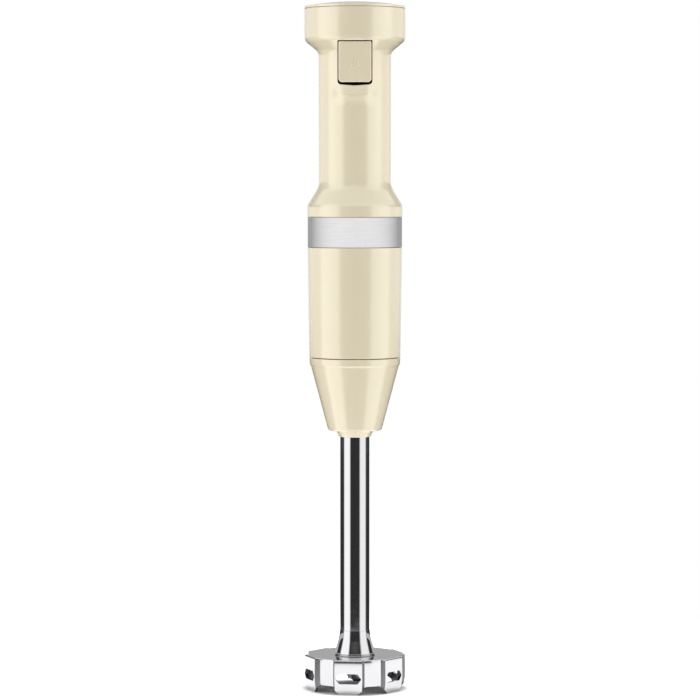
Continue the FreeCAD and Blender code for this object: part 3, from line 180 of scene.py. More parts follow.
def pale_floor():
    """A round white sweep. What shines sees only the part of it close to the object."""
    contact_r, mirrored_r, blend_r, no_end = 0.0315, 0.228, 0.3, 99.0
    material = bpy.data.materials.new("pale_floor")
    material.use_nodes = True
    tree = material.node_tree
    tree.nodes.clear()
    grain = node(tree, "ShaderNodeTexNoise", Scale=900.0, Detail=2.0)
    tint = node(tree, "ShaderNodeMapRange", To_Min=0.93, To_Max=0.96)
    wire(tree, grain.outputs[0], tint.inputs["Value"])
    matt = node(tree, "ShaderNodeBsdfDiffuse")
    wire(tree, tint.outputs[0], matt.inputs["Color"])
    lift = node(tree, "ShaderNodeEmission")
    both = node(tree, "ShaderNodeAddShader")
    wire(tree, matt.outputs[0], both.inputs[0])
    wire(tree, lift.outputs[0], both.inputs[1])
    place = node(tree, "ShaderNodeTexCoord")
    far = node(tree, "ShaderNodeVectorMath", operation="LENGTH")
    wire(tree, place.outputs["Object"], far.inputs[0])
    path = node(tree, "ShaderNodeLightPath")
    open_floor = between(tree, far.outputs["Value"], contact_r, no_end, 0.003)
    lit = sums(tree, "MULTIPLY_ADD", path.outputs["Is Glossy Ray"], 0.7, 0.2)
    lit = sums(tree, "MULTIPLY_ADD", path.outputs["Is Camera Ray"], 0.4, lit)
    wire(tree, sums(tree, "MULTIPLY", open_floor, lit), lift.inputs["Strength"])
    fade = between(tree, far.outputs["Value"], blend_r, no_end, 0.12)
    mirrored = between(tree, far.outputs["Value"], mirrored_r, no_end, 0.02)
    seen = sums(tree, "MULTIPLY", fade, path.outputs["Is Camera Ray"])
    gone = sums(tree, "MULTIPLY", mirrored, path.outputs["Is Glossy Ray"])
    white = node(tree, "ShaderNodeMixShader")
    wire(tree, seen, white.inputs[0])
    wire(tree, both.outputs[0], white.inputs[1])
    wire(tree, node(tree, "ShaderNodeEmission", Strength=1.0).outputs[0], white.inputs[2])
    mix = node(tree, "ShaderNodeMixShader")
    wire(tree, gone, mix.inputs[0])
    wire(tree, white.outputs[0], mix.inputs[1])
    wire(tree, node(tree, "ShaderNodeBsdfTransparent").outputs[0], mix.inputs[2])
    wire(tree, mix.outputs[0], node(tree, "ShaderNodeOutputMaterial").inputs["Surface"])
    return material


floor_mesh = bpy.data.meshes.new("floor")
floor_form = bmesh.new()
bmesh.ops.create_circle(floor_form, cap_ends=True, segments=96, radius=9.0)
floor_form.to_mesh(floor_mesh)
floor = bpy.data.objects.new("floor", floor_mesh)
floor_mesh.materials.append(pale_floor())
bpy.context.scene.collection.objects.link(floor)

# ------------------------------------------------------------------------------------------------
# Upper housing: two glossy moulded shells that meet at the sides, screwed to the chassis under the
# cap and through the skirt. The front one has the trigger's window and the lip below it.
# ------------------------------------------------------------------------------------------------
GLOSS_CREAM = (0.80, 0.718, 0.524, 1.0)


def shader_group(name, inputs, outputs):
    """An empty shader node group with its group input and output nodes."""
    group = bpy.data.node_groups.new(name, "ShaderNodeTree")
    for label, value in inputs:
        kind = "NodeSocketColor" if isinstance(value, tuple) else "NodeSocketFloat"
        group.interface.new_socket(label, in_out="INPUT", socket_type=kind).default_value = value
    for label, kind in outputs:
        group.interface.new_socket(label, in_out="OUTPUT", socket_type=kind)
    return group, group.nodes.new("NodeGroupInput"), group.nodes.new("NodeGroupOutput")


def handling_group():
    """Soft unevenness of a surface in use: roughness, a slight tint and the waviness of its skin."""
    group, given, out = shader_group(
        "handling",
        (("Roughness", 0.2), ("Spread", 0.05), ("Patch Scale", 60.0), ("Skin Scale", 900.0)),
        (("Roughness", "NodeSocketFloat"), ("Shade", "NodeSocketFloat"), ("Skin", "NodeSocketFloat")),
    )
    place = node(group, "ShaderNodeTexCoord")
    patch = node(group, "ShaderNodeTexNoise", Detail=3.0)
    skin = node(group, "ShaderNodeTexNoise", Detail=2.0)
    for texture, label in ((patch, "Patch Scale"), (skin, "Skin Scale")):
        wire(group, place.outputs["Object"], texture.inputs["Vector"])
        wire(group, given.outputs[label], texture.inputs["Scale"])
    swing = sums(group, "SUBTRACT", patch.outputs[0], 0.5)
    spread, middle = given.outputs["Spread"], given.outputs["Roughness"]
    wire(group, sums(group, "MULTIPLY_ADD", swing, spread, middle, clamp=True), out.inputs["Roughness"])
    wire(group, sums(group, "MULTIPLY_ADD", swing, 0.05, 1.0), out.inputs["Shade"])
    wire(group, skin.outputs[0], out.inputs["Skin"])
    return group


HANDLING = handling_group()


def surface(name, colour, roughness, metallic=0.0, spread=0.05, patch=60.0, skin=900.0, bump=0.02):
    """A Principled material whose roughness, shade and skin vary a little over the surface."""
    skin_depth = 0.02 * MM
    material = bpy.data.materials.new(name)
    material.use_nodes = True
    material.diffuse_color = colour
    tree = material.node_tree
    body = tree.nodes["Principled BSDF"]
    body.inputs["Metallic"].default_value = metallic
    use = node(tree, "ShaderNodeGroup", node_tree=HANDLING)
    labels = ("Roughness", "Spread", "Patch Scale", "Skin Scale")
    for label, value in zip(labels, (roughness, spread, patch, skin)):
        use.inputs[label].default_value = value
    shade = node(tree, "ShaderNodeMix", data_type="RGBA", blend_type="MULTIPLY")
    shade.inputs["Factor"].default_value = 1.0
    shade.inputs["A"].default_value = colour
    wire(tree, use.outputs["Shade"], shade.inputs["B"])
    wire(tree, shade.outputs["Result"], body.inputs["Base Color"])
    wire(tree, use.outputs["Roughness"], body.inputs["Roughness"])
    relief = node(tree, "ShaderNodeBump", Strength=bump, Distance=skin_depth)
    wire(tree, use.outputs["Skin"], relief.inputs["Height"])
    wire(tree, relief.outputs[0], body.inputs["Normal"])
    return material, tree, body, shade


def cream_plastic():
    """Glossy moulded plastic: a clear skin over a warm body, with the faint ripple of moulding."""
    material, _, body, _ = surface("cream_plastic", GLOSS_CREAM, 0.24, patch=35.0, skin=260.0, bump=0.05)
    body.inputs["Coat Weight"].default_value = 1.0
    body.inputs["Coat IOR"].default_value = 1.62
    body.inputs["Coat Roughness"].default_value = 0.15
    return material


CREAM = cream_plastic()


def rounded(corners, step=8.0):
    """Points of a closed outline. A corner is (across, up) or (across, up, fillet radius)."""
    points = []
    for i, corner in enumerate(corners):
        here = Vector(corner[:2])
        fillet = corner[2] if len(corner) > 2 else 0.0
        if not fillet:
            points.append(here)
            continue
        back = (Vector(corners[i - 1][:2]) - here).normalized()
        ahead = (Vector(corners[(i + 1) % len(corners)][:2]) - here).normalized()
        half = back.angle(ahead) / 2.0
        centre = here + (back + ahead).normalized() * (fillet / math.sin(half))
        start = here + back * (fillet / math.tan(half)) - centre
        end = here + ahead * (fillet / math.tan(half)) - centre
        swing = start.angle(end)
        parts = max(2, math.ceil(math.degrees(swing) / step))
        for k in range(parts + 1):
            t = k / parts
            arm = start * math.sin((1.0 - t) * swing) + end * math.sin(t * swing)
            points.append(centre + arm / math.sin(swing))
    return points


def divided(points, longest):
    """The same closed outline with no stretch longer than longest."""
    result = []
    for a, b in zip(points, points[1:] + points[:1]):
        parts = max(1, math.ceil((b - a).length / longest))
        result += [a.lerp(b, k / parts) for k in range(parts)]
    return result


def as_piece(name, form, material, sharp=32.0):
    """Closes and orients a mesh, shades it smooth up to its sharp edges and makes it an object."""
    bmesh.ops.remove_doubles(form, verts=form.verts, dist=1e-7)
    bmesh.ops.recalc_face_normals(form, faces=form.faces)
    mesh = bpy.data.meshes.new(name)
    form.to_mesh(mesh)
    form.free()
    mesh.shade_smooth()
    mesh.set_sharp_from_angle(angle=math.radians(sharp))
    mesh.materials.append(material)
    piece = bpy.data.objects.new(name, mesh)
    bpy.context.scene.collection.objects.link(piece)
    return piece


def on_circle(form, r, z, angle):
    """A new vertex at a distance from the drive axis and a height, in millimetres."""
    return form.verts.new((r * MM * math.cos(angle), r * MM * math.sin(angle), z * MM))


def turned(name, points, material, steps=192, sweep=(0.0, 360.0), sharp=32.0):
    """A piece turned about the drive axis from a closed outline in millimetres."""
    form = bmesh.new()
    closed = sweep[1] - sweep[0] > 359.9
    rows = []
    for j in range(steps if closed else steps + 1):
        a = math.radians(sweep[0] + (sweep[1] - sweep[0]) * j / steps)
        rows.append([on_circle(form, p.x, p.y, a) for p in points])
    for j in range(steps):
        here, ahead = rows[j], rows[(j + 1) % len(rows)]
        for k in range(len(points)):
            n = (k + 1) % len(points)
            form.faces.new((here[k], ahead[k], ahead[n], here[n]))
    if not closed:
        form.faces.new(rows[0])
        form.faces.new(rows[-1])
    return as_piece(name, form, material, sharp)


def prism(outline, near, far, across=(1, 0, 0), up=(0, 0, 1)):
    """Mesh of an outline in millimetres, pushed from near to far square to its plane, frontwards."""
    form = bmesh.new()
    across, up = Vector(across), Vector(up)
    away = across.cross(up)
    ends = []
    for d in (near, far):
        ends.append([form.verts.new((across * p.x + up * p.y + away * d) * MM) for p in outline])
    for k in range(len(outline)):
        n = (k + 1) % len(outline)
        form.faces.new((ends[0][k], ends[0][n], ends[1][n], ends[1][k]))
    form.faces.new(ends[0])
    form.faces.new(ends[1])
    bmesh.ops.recalc_face_normals(form, faces=form.faces)
    return form


def settled(piece):
    """Makes the result of the modifiers the piece's own mesh."""
    graph = bpy.context.evaluated_depsgraph_get()
    mesh = bpy.data.meshes.new_from_object(piece.evaluated_get(graph))
    piece.modifiers.clear()
    piece.data = mesh
    return piece


def carved(piece, forms, edge=0.0, sharp=32.0):
    """Cuts the forms out of the piece and breaks the edges that the cut leaves."""
    knife_form = bmesh.new()
    for form in forms:
        scrap = bpy.data.meshes.new("scrap")
        form.to_mesh(scrap)
        form.free()
        knife_form.from_mesh(scrap)
        bpy.data.meshes.remove(scrap)
    knife_mesh = bpy.data.meshes.new("knife")
    knife_form.to_mesh(knife_mesh)
    knife_form.free()
    knife = bpy.data.objects.new("knife", knife_mesh)
    bpy.context.scene.collection.objects.link(knife)
    cut = piece.modifiers.new("cut", "BOOLEAN")
    cut.operation = "DIFFERENCE"
    cut.solver = "EXACT"
    cut.object = knife
    if edge:
        broken = piece.modifiers.new("edge", "BEVEL")
        broken.width = edge * MM
        broken.segments = 2
        broken.limit_method = "ANGLE"
        broken.angle_limit = math.radians(50.0)
        broken.use_clamp_overlap = True
        broken.miter_outer = "MITER_ARC"
    settled(piece)
    bpy.data.objects.remove(knife)
    bpy.data.meshes.remove(knife_mesh)
    piece.data.shade_smooth()
    piece.data.set_sharp_from_angle(angle=math.radians(sharp))
    return piece


def evened(piece):
    """Lets the large faces rule the shading, so that flats stay flat beside their fillets."""
    even = piece.modifiers.new("even", "WEIGHTED_NORMAL")
    even.keep_sharp = True
    even.weight = 90
    return settled(piece)


def outer_radius(name):
    low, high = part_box(name)
    return max(-low.x, high.x, -low.y, high.y) / MM


def level(name, which):
    """Lowest (0) or highest (1) height of a CAD node, in millimetres."""
    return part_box(name)[which].z / MM


HEAD_R = outer_radius("rear_shell")
SHELL_TOP = level("rear_shell", 1)
SKIRT_FOOT = level("rear_shell", 0)
BAND_TOP = level("trim_band", 1)
CELL_TOP = level("battery_cells", 1)
HANDLE_R = HEAD_R - 8.6
SHOULDER_R = HEAD_R - 1.6
SKIRT_R = SHOULDER_R - 1.8
HEAD_FOOT = SHELL_TOP - 18.8
WALL = 2.2
shell_outside = [
    (SKIRT_R, SKIRT_FOOT),
    (SKIRT_R, BAND_TOP + 0.2),
    (SHOULDER_R, BAND_TOP + 0.2, 0.3),
    (SHOULDER_R, BAND_TOP + 6.8, 4.5),
    (HANDLE_R, BAND_TOP + 18.0, 14.0),
    (HANDLE_R + 0.15, HEAD_FOOT - 6.8, 5.4),
    (HEAD_R, HEAD_FOOT, 4.0),
    (HEAD_R, SHELL_TOP, 0.35),
]
shell_inside = [
    (HEAD_R - WALL, SHELL_TOP),
    (HEAD_R - WALL, HEAD_FOOT + 0.6, 2.0),
    (HANDLE_R - WALL + 0.15, HEAD_FOOT - 5.8, 5.0),
    (HANDLE_R - WALL, BAND_TOP + 17.0, 12.0),
    (SKIRT_R - WALL, BAND_TOP + 5.8, 4.0),
    (SKIRT_R - WALL, SKIRT_FOOT),
]
shell_outline = divided(rounded(shell_outside + shell_inside, 6.0), 2.4)
PARTING = 0.13  # degrees left open at each side, where the shells meet

TRIGGER_LOW, TRIGGER_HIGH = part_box("trigger")
TRIGGER_HALF = TRIGGER_HIGH.x / MM
TRIGGER_FOOT = TRIGGER_LOW.z / MM
TRIGGER_HEAD = HEAD_FOOT - 1.6
LIP = 2.9


def smooth(value, low, high):
    t = min(1.0, max(0.0, (value - low) / (high - low)))
    return t * t * (3.0 - 2.0 * t)


def raise_lip(piece):
    """Swells the front of the handle into the lip under the trigger."""
    for vertex in piece.data.vertices:
        x, z = abs(vertex.co.x / MM), vertex.co.z / MM
        if math.hypot(vertex.co.x, vertex.co.y) / MM < HANDLE_R - 1.0 or vertex.co.y > 0:
            continue
        rise = smooth(z, TRIGGER_FOOT - 13.0, TRIGGER_FOOT - 7.5)
        fall = 1.0 - 0.75 * smooth(z, TRIGGER_FOOT - 8.5, TRIGGER_FOOT + 1.0)
        fall -= 0.25 * smooth(z, TRIGGER_FOOT, TRIGGER_HEAD)
        flank = 1.0 - smooth(x, 7.0, 14.5)
        vertex.co.y -= LIP * MM * rise * fall * flank


front_shell = turned("front_shell_skin", shell_outline, CREAM, 160, (180.0 + PARTING, 360.0 - PARTING))
raise_lip(front_shell)
window_half = TRIGGER_HALF + 0.6
window = [
    (-window_half, TRIGGER_HEAD + 0.6, 0.5),
    (window_half, TRIGGER_HEAD + 0.6, 0.5),
    (window_half, TRIGGER_FOOT - 1.2, 2.3),
    (0.0, TRIGGER_FOOT - 2.0, 20.0),
    (-window_half, TRIGGER_FOOT - 1.2, 2.3),
]
carved(front_shell, [prism(rounded(window, 12.0), 14.0, 40.0)], 0.25)
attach(evened(front_shell), "motor_body")
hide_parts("front_shell")

LOCK_LOW, LOCK_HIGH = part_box("lock_button")
LOCK_Z = (LOCK_LOW.z + LOCK_HIGH.z) / 2.0 / MM
LOCK_HALF_W, LOCK_HALF_H = 6.5, 4.2


PILL_CORNERS = ((-1, -1), (1, -1), (1, 1), (-1, 1))


def pill(half_w, half_h, up=0.0):
    """Round-ended outline about (0, up)."""
    return rounded([(x * half_w, up + z * half_h, half_h - 0.05) for x, z in PILL_CORNERS], 7.0)


def round_hole(radius, x, z, parts=32):
    turns = [2.0 * math.pi * k / parts for k in range(parts)]
    return [Vector((x + radius * math.cos(a), z + radius * math.sin(a))) for a in turns]


SOCKET_LOW, SOCKET_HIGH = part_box("charge_socket")
SOCKET_Z = (SOCKET_LOW.z + SOCKET_HIGH.z) / 2.0 / MM
LIGHT_LOW, LIGHT_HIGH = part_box("status_light")
LIGHT_Z = (LIGHT_LOW.z + LIGHT_HIGH.z) / 2.0 / MM
rear_shell = turned("rear_shell_skin", shell_outline, CREAM, 161, (PARTING, 180.0 - PARTING))
rear_cuts = [
    prism(pill(LOCK_HALF_W + 0.3, LOCK_HALF_H + 0.3, LOCK_Z), -40.0, -15.0),
    prism(round_hole(4.3, 0.0, SOCKET_Z), -30.0, -14.0),
    prism(round_hole(1.65, 0.0, LIGHT_Z), -40.0, -20.0),
]
carved(rear_shell, rear_cuts, 0.25)
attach(evened(rear_shell), "motor_body")
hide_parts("rear_shell")

# ------------------------------------------------------------------------------------------------
# Top cap: a shallow glossy dome that closes the head. Its spigot drops inside the shells, and a
# rubber ring under it keeps splashes out.
# ------------------------------------------------------------------------------------------------
CAP_FOOT = SHELL_TOP + 0.2
CAP_TOP = level("top_cap", 1)
DOME_R = 165.0


def dome_outline():
    """The dome's arc from its middle to its rounded rim, then the flat underside and the spigot."""
    rim_z = CAP_FOOT + 1.3
    centre_z = CAP_TOP - DOME_R
    reach = HEAD_R - 1.1
    arc = [Vector((reach * k / 24.0, 0.0)) for k in range(25)]
    for p in arc:
        p.y = centre_z + math.sqrt(DOME_R**2 - p.x**2)
    edge_z = arc[-1].y
    rim = []
    for k in range(1, 9):
        a = math.radians(90.0 * k / 8.0)
        rim.append(Vector((reach + 1.05 * math.sin(a), edge_z - (edge_z - rim_z) * (1.0 - math.cos(a)))))
    under = [
        (HEAD_R - 0.05, CAP_FOOT, 0.2),
        (HEAD_R - WALL - 0.15, CAP_FOOT),
        (HEAD_R - WALL - 0.15, CAP_FOOT - 1.9),
        (HEAD_R - WALL - 1.75, CAP_FOOT - 1.9),
        (HEAD_R - WALL - 1.75, CAP_FOOT + 0.4),
        (0.0, CAP_FOOT + 1.2),
    ]
    tail = rounded([tuple(rim[-1])] + under)
    return arc + rim[:-1] + tail


top_cap = evened(turned("top_cap_dome", dome_outline(), CREAM, 192))
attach(top_cap, "motor_body")
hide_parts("top_cap")

# ------------------------------------------------------------------------------------------------
# Trim band: a thin steel sleeve slid over the skirt, where it hides the screws. It is brushed round
# its circumference and left plain. Its colour carries a painted sheen: lighter where it is seen
# square on and darker towards its sides.
# ------------------------------------------------------------------------------------------------


def lines_group():
    """Fine lines that run round the drive axis, as brushing or a polishing wheel leaves them."""
    group, given, out = shader_group(
        "wheel_lines",
        (("Line Scale", 2600.0), ("Length", 18.0)),
        (("Lines", "NodeSocketFloat"), ("Streaks", "NodeSocketFloat")),
    )
    place = node(group, "ShaderNodeTexCoord")
    split = node(group, "ShaderNodeSeparateXYZ")
    wire(group, place.outputs["Object"], split.inputs[0])
    turn = sums(group, "ARCTAN2", split.outputs["X"], split.outputs["Y"])
    along = sums(group, "MULTIPLY", turn, given.outputs["Length"])
    for label, share in (("Lines", 1.0), ("Streaks", 0.22)):
        spot = node(group, "ShaderNodeCombineXYZ")
        wire(group, sums(group, "MULTIPLY", along, 0.05), spot.inputs["X"])
        down = sums(group, "MULTIPLY", split.outputs["Z"], given.outputs["Line Scale"])
        wire(group, sums(group, "MULTIPLY", down, share), spot.inputs["Y"])
        noise = node(group, "ShaderNodeTexNoise", Scale=1.0, Detail=3.0)
        wire(group, spot.outputs[0], noise.inputs["Vector"])
        wire(group, noise.outputs[0], out.inputs[label])
    return group


WHEEL_LINES = lines_group()


def wheel_finish(material_parts, scale, length, contrast, depth):
    """Adds lines round the axis to a metal: in its roughness, its shade and its relief."""
    material, tree, body, shade = material_parts
    use = node(tree, "ShaderNodeGroup", node_tree=WHEEL_LINES)
    use.inputs["Line Scale"].default_value = scale
    use.inputs["Length"].default_value = length
    swing = sums(tree, "SUBTRACT", use.outputs["Streaks"], 0.5)
    old = body.inputs["Roughness"].links[0].from_socket
    wire(tree, sums(tree, "MULTIPLY_ADD", swing, contrast, old, clamp=True), body.inputs["Roughness"])
    tone = node(tree, "ShaderNodeMix", data_type="RGBA", blend_type="MULTIPLY")
    tone.inputs["Factor"].default_value = 1.0
    wire(tree, shade.outputs["Result"], tone.inputs["A"])
    wire(tree, sums(tree, "MULTIPLY_ADD", swing, contrast * 0.8, 1.0), tone.inputs["B"])
    wire(tree, tone.outputs["Result"], body.inputs["Base Color"])
    relief = node(tree, "ShaderNodeBump", Strength=0.25, Distance=depth)
    wire(tree, use.outputs["Lines"], relief.inputs["Height"])
    wire(tree, relief.outputs[0], body.inputs["Normal"])
    return material


band_parts = surface("brushed_band", (0.84, 0.84, 0.845, 1.0), 0.46, metallic=0.06, spread=0.08, patch=90.0)
band_parts[2].inputs["Anisotropic"].default_value = 0.75
BRUSHED_BAND = wheel_finish(band_parts, 5200.0, 22.0, 0.22, 0.01 * MM)


def painted_sheen_falloff(material, centre, edge):
    """Painted sheen and shade: the colour is made brightest where the metal is seen square on and falls off
    darker at the sides.
    """
    tree = material.node_tree
    body = tree.nodes["Principled BSDF"]
    facing = node(tree, "ShaderNodeLayerWeight", Blend=0.5)
    fall = node(tree, "ShaderNodeMapRange", From_Min=0.0, From_Max=0.6, To_Min=centre, To_Max=edge)
    wire(tree, facing.outputs["Facing"], fall.inputs["Value"])
    tone = node(tree, "ShaderNodeMix", data_type="RGBA", blend_type="MULTIPLY")
    tone.inputs["Factor"].default_value = 1.0
    wire(tree, body.inputs["Base Color"].links[0].from_socket, tone.inputs["A"])
    wire(tree, fall.outputs[0], tone.inputs["B"])
    wire(tree, tone.outputs["Result"], body.inputs["Base Color"])


# Painted sheen and shade on the band: its colour is lifted where it faces the view and darkened towards its
# sides.
painted_sheen_falloff(BRUSHED_BAND, 1.05, 0.36)
BAND_R = outer_radius("trim_band")
BAND_FOOT = level("trim_band", 0)
band_corners = [
    (SKIRT_R + 0.05, BAND_FOOT),
    (BAND_R, BAND_FOOT, 0.25),
    (BAND_R, BAND_TOP, 0.25),
    (SKIRT_R + 0.05, BAND_TOP),
]
trim_band = evened(turned("trim_band_sleeve", rounded(band_corners, 15.0), BRUSHED_BAND, 256))
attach(trim_band, "motor_body")
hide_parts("trim_band")

# ------------------------------------------------------------------------------------------------
# Motor sleeve: one glossy moulded tube, slightly tapered, that slides over the arm socket from
# below and closes against the trim band.
# ------------------------------------------------------------------------------------------------
SLEEVE_LOW_R, SLEEVE_TOP_R = SHOULDER_R - 1.2, SHOULDER_R - 0.25
SLEEVE_FOOT, SLEEVE_TOP = level("motor_sleeve", 0), level("motor_sleeve", 1)
SOCKET_R = outer_radius("arm_socket")
sleeve_corners = [
    (SOCKET_R + 0.1, SLEEVE_FOOT),
    (SLEEVE_LOW_R, SLEEVE_FOOT, 0.5),
    (SLEEVE_TOP_R, SLEEVE_TOP, 0.35),
    (SOCKET_R + 0.1, SLEEVE_TOP),
]
motor_sleeve = evened(turned("motor_sleeve_tube", divided(rounded(sleeve_corners), 8.0), CREAM, 192))
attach(motor_sleeve, "motor_body")
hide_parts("motor_sleeve")

# ------------------------------------------------------------------------------------------------
# Trigger: a moulded wedge that bridges head and handle and swings on its pin behind the head. Its
# face is slightly crowned and carries a raised power symbol.
# ------------------------------------------------------------------------------------------------
FACE_TOP_Y = HEAD_R - 1.5
FACE_LOW_Y = HANDLE_R + 3.4
CROWN = 0.30
PIVOT_Y, PIVOT_Z = HEAD_R - 12.0, HEAD_FOOT + 3.4


def pad_form(outline_at, face_at, back, fillet, swell, middle, front):
    """A moulded button: its side, its rounded edge, and a face that swells or dips to its middle."""
    form = bmesh.new()
    loops = [(0.0, back), (0.0, fillet)]
    for k in range(1, 7):
        a = math.radians(15.0 * k)
        loops.append((fillet * (1.0 - math.cos(a)), fillet * (1.0 - math.sin(a))))
    rows = [[(p, face_at(p) - depth) for p in outline_at(inset)] for inset, depth in loops]
    rim = outline_at(fillet)
    for k in range(1, 13):
        share = 1.0 - k / 12.5
        spots = [middle.lerp(p, share) for p in rim]
        rows.append([(q, face_at(q) + swell * (1.0 - share**2)) for q in spots])
    way = -1.0 if front else 1.0
    rings = [[form.verts.new((p.x * MM, way * y * MM, p.y * MM)) for p, y in row] for row in rows]
    for here, ahead in zip(rings, rings[1:]):
        for k in range(len(here)):
            n = (k + 1) % len(here)
            form.faces.new((here[k], here[n], ahead[n], ahead[k]))
    form.faces.new(rings[0])
    form.faces.new(rings[-1])
    return form


def face_y(z):
    """How far forward the flat of the trigger's face lies at a height."""
    return FACE_LOW_Y + (FACE_TOP_Y - FACE_LOW_Y) * (z - TRIGGER_FOOT) / (TRIGGER_HEAD - TRIGGER_FOOT)


def trigger_outline(inset):
    half = TRIGGER_HALF - inset
    low, high = TRIGGER_FOOT + inset, TRIGGER_HEAD - inset
    corner, top = max(0.2, 1.9 - inset), max(0.15, 0.8 - inset)
    return rounded([(-half, low, corner), (half, low, corner), (half, high, top), (-half, high, top)], 11.0)


def join(target, form):
    """Adds one mesh to another."""
    scrap = bpy.data.meshes.new("scrap")
    form.to_mesh(scrap)
    form.free()
    target.from_mesh(scrap)
    bpy.data.meshes.remove(scrap)


trigger_middle = Vector((0.0, (TRIGGER_FOOT + TRIGGER_HEAD) / 2.0))
trigger_mesh = pad_form(trigger_outline, lambda p: face_y(p.y), 7.2, 0.75, CROWN, trigger_middle, True)
arm_outline = rounded([
    (FACE_TOP_Y - 3.0, TRIGGER_HEAD - 0.3), (FACE_TOP_Y - 7.0, TRIGGER_HEAD - 8.0, 1.0),
    (PIVOT_Y - 2.8, PIVOT_Z - 4.0, 1.0), (PIVOT_Y - 2.8, PIVOT_Z + 2.8, 2.4),
    (PIVOT_Y + 2.8, PIVOT_Z + 2.8, 2.4), (PIVOT_Y + 3.0, TRIGGER_HEAD - 0.3, 0.8),
], 9.0)
for near in (-TRIGGER_HALF, TRIGGER_HALF - 2.4):
    join(trigger_mesh, prism(arm_outline, near, near + 2.4, (0, -1, 0)))
join(trigger_mesh, prism(round_hole(2.2, 0.0, CELL_TOP + 7.0), 15.2, 22.0))
join(trigger_mesh, prism(round_hole(2.6, 0.0, TRIGGER_HEAD - 8.0), FACE_LOW_Y - 11.8, FACE_LOW_Y - 3.0))
trigger = evened(as_piece("trigger_face", trigger_mesh, CREAM, 40.0))
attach(trigger, "trigger")
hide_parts("trigger")


def stroke(name, route, radius, material):
    """A raised line of round section along points in millimetres."""
    curve = bpy.data.curves.new(name, "CURVE")
    curve.dimensions = "3D"
    curve.bevel_depth = radius * MM
    curve.bevel_resolution = 3
    curve.use_fill_caps = True
    line = curve.splines.new("POLY")
    line.points.add(len(route) - 1)
    for point, spot in zip(line.points, route):
        point.co = (spot[0] * MM, spot[1] * MM, spot[2] * MM, 1.0)
    maker = bpy.data.objects.new(name, curve)
    bpy.context.scene.collection.objects.link(maker)
    mesh = bpy.data.meshes.new_from_object(maker.evaluated_get(bpy.context.evaluated_depsgraph_get()))
    bpy.data.objects.remove(maker)
    bpy.data.curves.remove(curve)
    mesh.shade_smooth()
    mesh.materials.clear()
    mesh.materials.append(material)
    piece = bpy.data.objects.new(name, mesh)
    bpy.context.scene.collection.objects.link(piece)
    return piece


SYMBOL_Z = (TRIGGER_FOOT + TRIGGER_HEAD) / 2.0 - 1.3
SYMBOL_R = 2.3


def on_face(x, z):
    share = math.hypot(x / TRIGGER_HALF, (z - SYMBOL_Z) / 12.0)
    return (x, -(face_y(z) + CROWN * (1.0 - share**2) - 0.05), z)


ring_angles = [math.radians(128.0 + 284.0 * k / 40.0) for k in range(41)]
ring_route = [on_face(SYMBOL_R * math.cos(a), SYMBOL_Z + SYMBOL_R * math.sin(a)) for a in ring_angles]
bar_route = [on_face(0.0, SYMBOL_Z + 0.4 + 2.9 * k / 8.0) for k in range(9)]
for symbol_name, route in (("power_symbol_ring", ring_route), ("power_symbol_bar", bar_route)):
    symbol = stroke(symbol_name, route, 0.36, CREAM)
    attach(symbol, "trigger")

# ------------------------------------------------------------------------------------------------
# Lock button at the rear: a moulded pill, dished for the finger. It must be pushed in before the
# trigger works. A flange inside the shell keeps it in, and a stem runs on to its switch.
# ------------------------------------------------------------------------------------------------
LOCK_R = HEAD_R - 0.1


def lock_outline(inset):
    return pill(LOCK_HALF_W - inset, LOCK_HALF_H - inset, LOCK_Z)


def lock_y(p):
    return math.sqrt(LOCK_R**2 - p.x**2)


lock_mesh = pad_form(lock_outline, lock_y, 6.2, 0.6, -0.75, Vector((0.0, LOCK_Z)), False)
flange = rounded([(x * (LOCK_HALF_W + 1.2), LOCK_Z + z * (LOCK_HALF_H + 1.0), 2.0) for x, z in PILL_CORNERS])
join(lock_mesh, prism(flange, -23.7, -22.2))
join(lock_mesh, prism(round_hole(1.8, 0.0, LOCK_Z), -22.3, LOCK_LOW.y / -MM))
lock_button = evened(as_piece("lock_button_pad", lock_mesh, CREAM, 40.0))
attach(lock_button, "lock_button")
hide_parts("lock_button")

# ------------------------------------------------------------------------------------------------
# Collar of the blending arm: a glossy moulded cone that ends in a small ferrule round the tube,
# fixed to the arm's core by three screws from above.
# ------------------------------------------------------------------------------------------------
TUBE_R = outer_radius("shaft_tube")
COLLAR_TOP = level("collar_shell", 1)
CONE_FOOT = COLLAR_TOP + 0.2 - 43.8
COLLAR_R = SLEEVE_LOW_R - 0.05
cone_top_z = COLLAR_TOP - 5.0
cone_top_r = COLLAR_R - 1.05
cone_low_r = cone_top_r - 0.2685 * (cone_top_z - CONE_FOOT - 0.6)
collar_corners = [
    (TUBE_R + 0.1, CONE_FOOT - 3.6),
    (TUBE_R + 0.6, CONE_FOOT - 3.6, 0.35),
    (TUBE_R + 2.2, CONE_FOOT - 0.3, 0.5),
    (cone_low_r, CONE_FOOT + 0.4, 1.8),
    (cone_top_r, cone_top_z, 0.5),
    (COLLAR_R - 0.3, COLLAR_TOP - 3.8, 0.4),
    (COLLAR_R, COLLAR_TOP, 0.45),
    (COLLAR_R - 1.8, COLLAR_TOP),
    (COLLAR_R - 1.8, COLLAR_TOP - 4.4),
    (cone_top_r - 1.8, cone_top_z - 1.0),
    (cone_low_r - 1.8, CONE_FOOT + 3.0),
    (TUBE_R + 0.1, CONE_FOOT + 1.4),
]
collar = evened(turned("collar_cone", rounded(collar_corners), CREAM, 192))
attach(collar, "arm")
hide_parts("collar_shell")

# ------------------------------------------------------------------------------------------------
# Shaft tube: drawn stainless tube, mirror-polished, with only faint traces of the polishing wheel
# along its length. It is pressed into the core above and welded to the guard's neck below.
# ------------------------------------------------------------------------------------------------
def metal(name, colour, roughness, patch, bump):
    """A bare metal that is a little uneven."""
    return surface(name, colour, roughness, metallic=1.0, spread=0.1, patch=patch, bump=bump)[0]


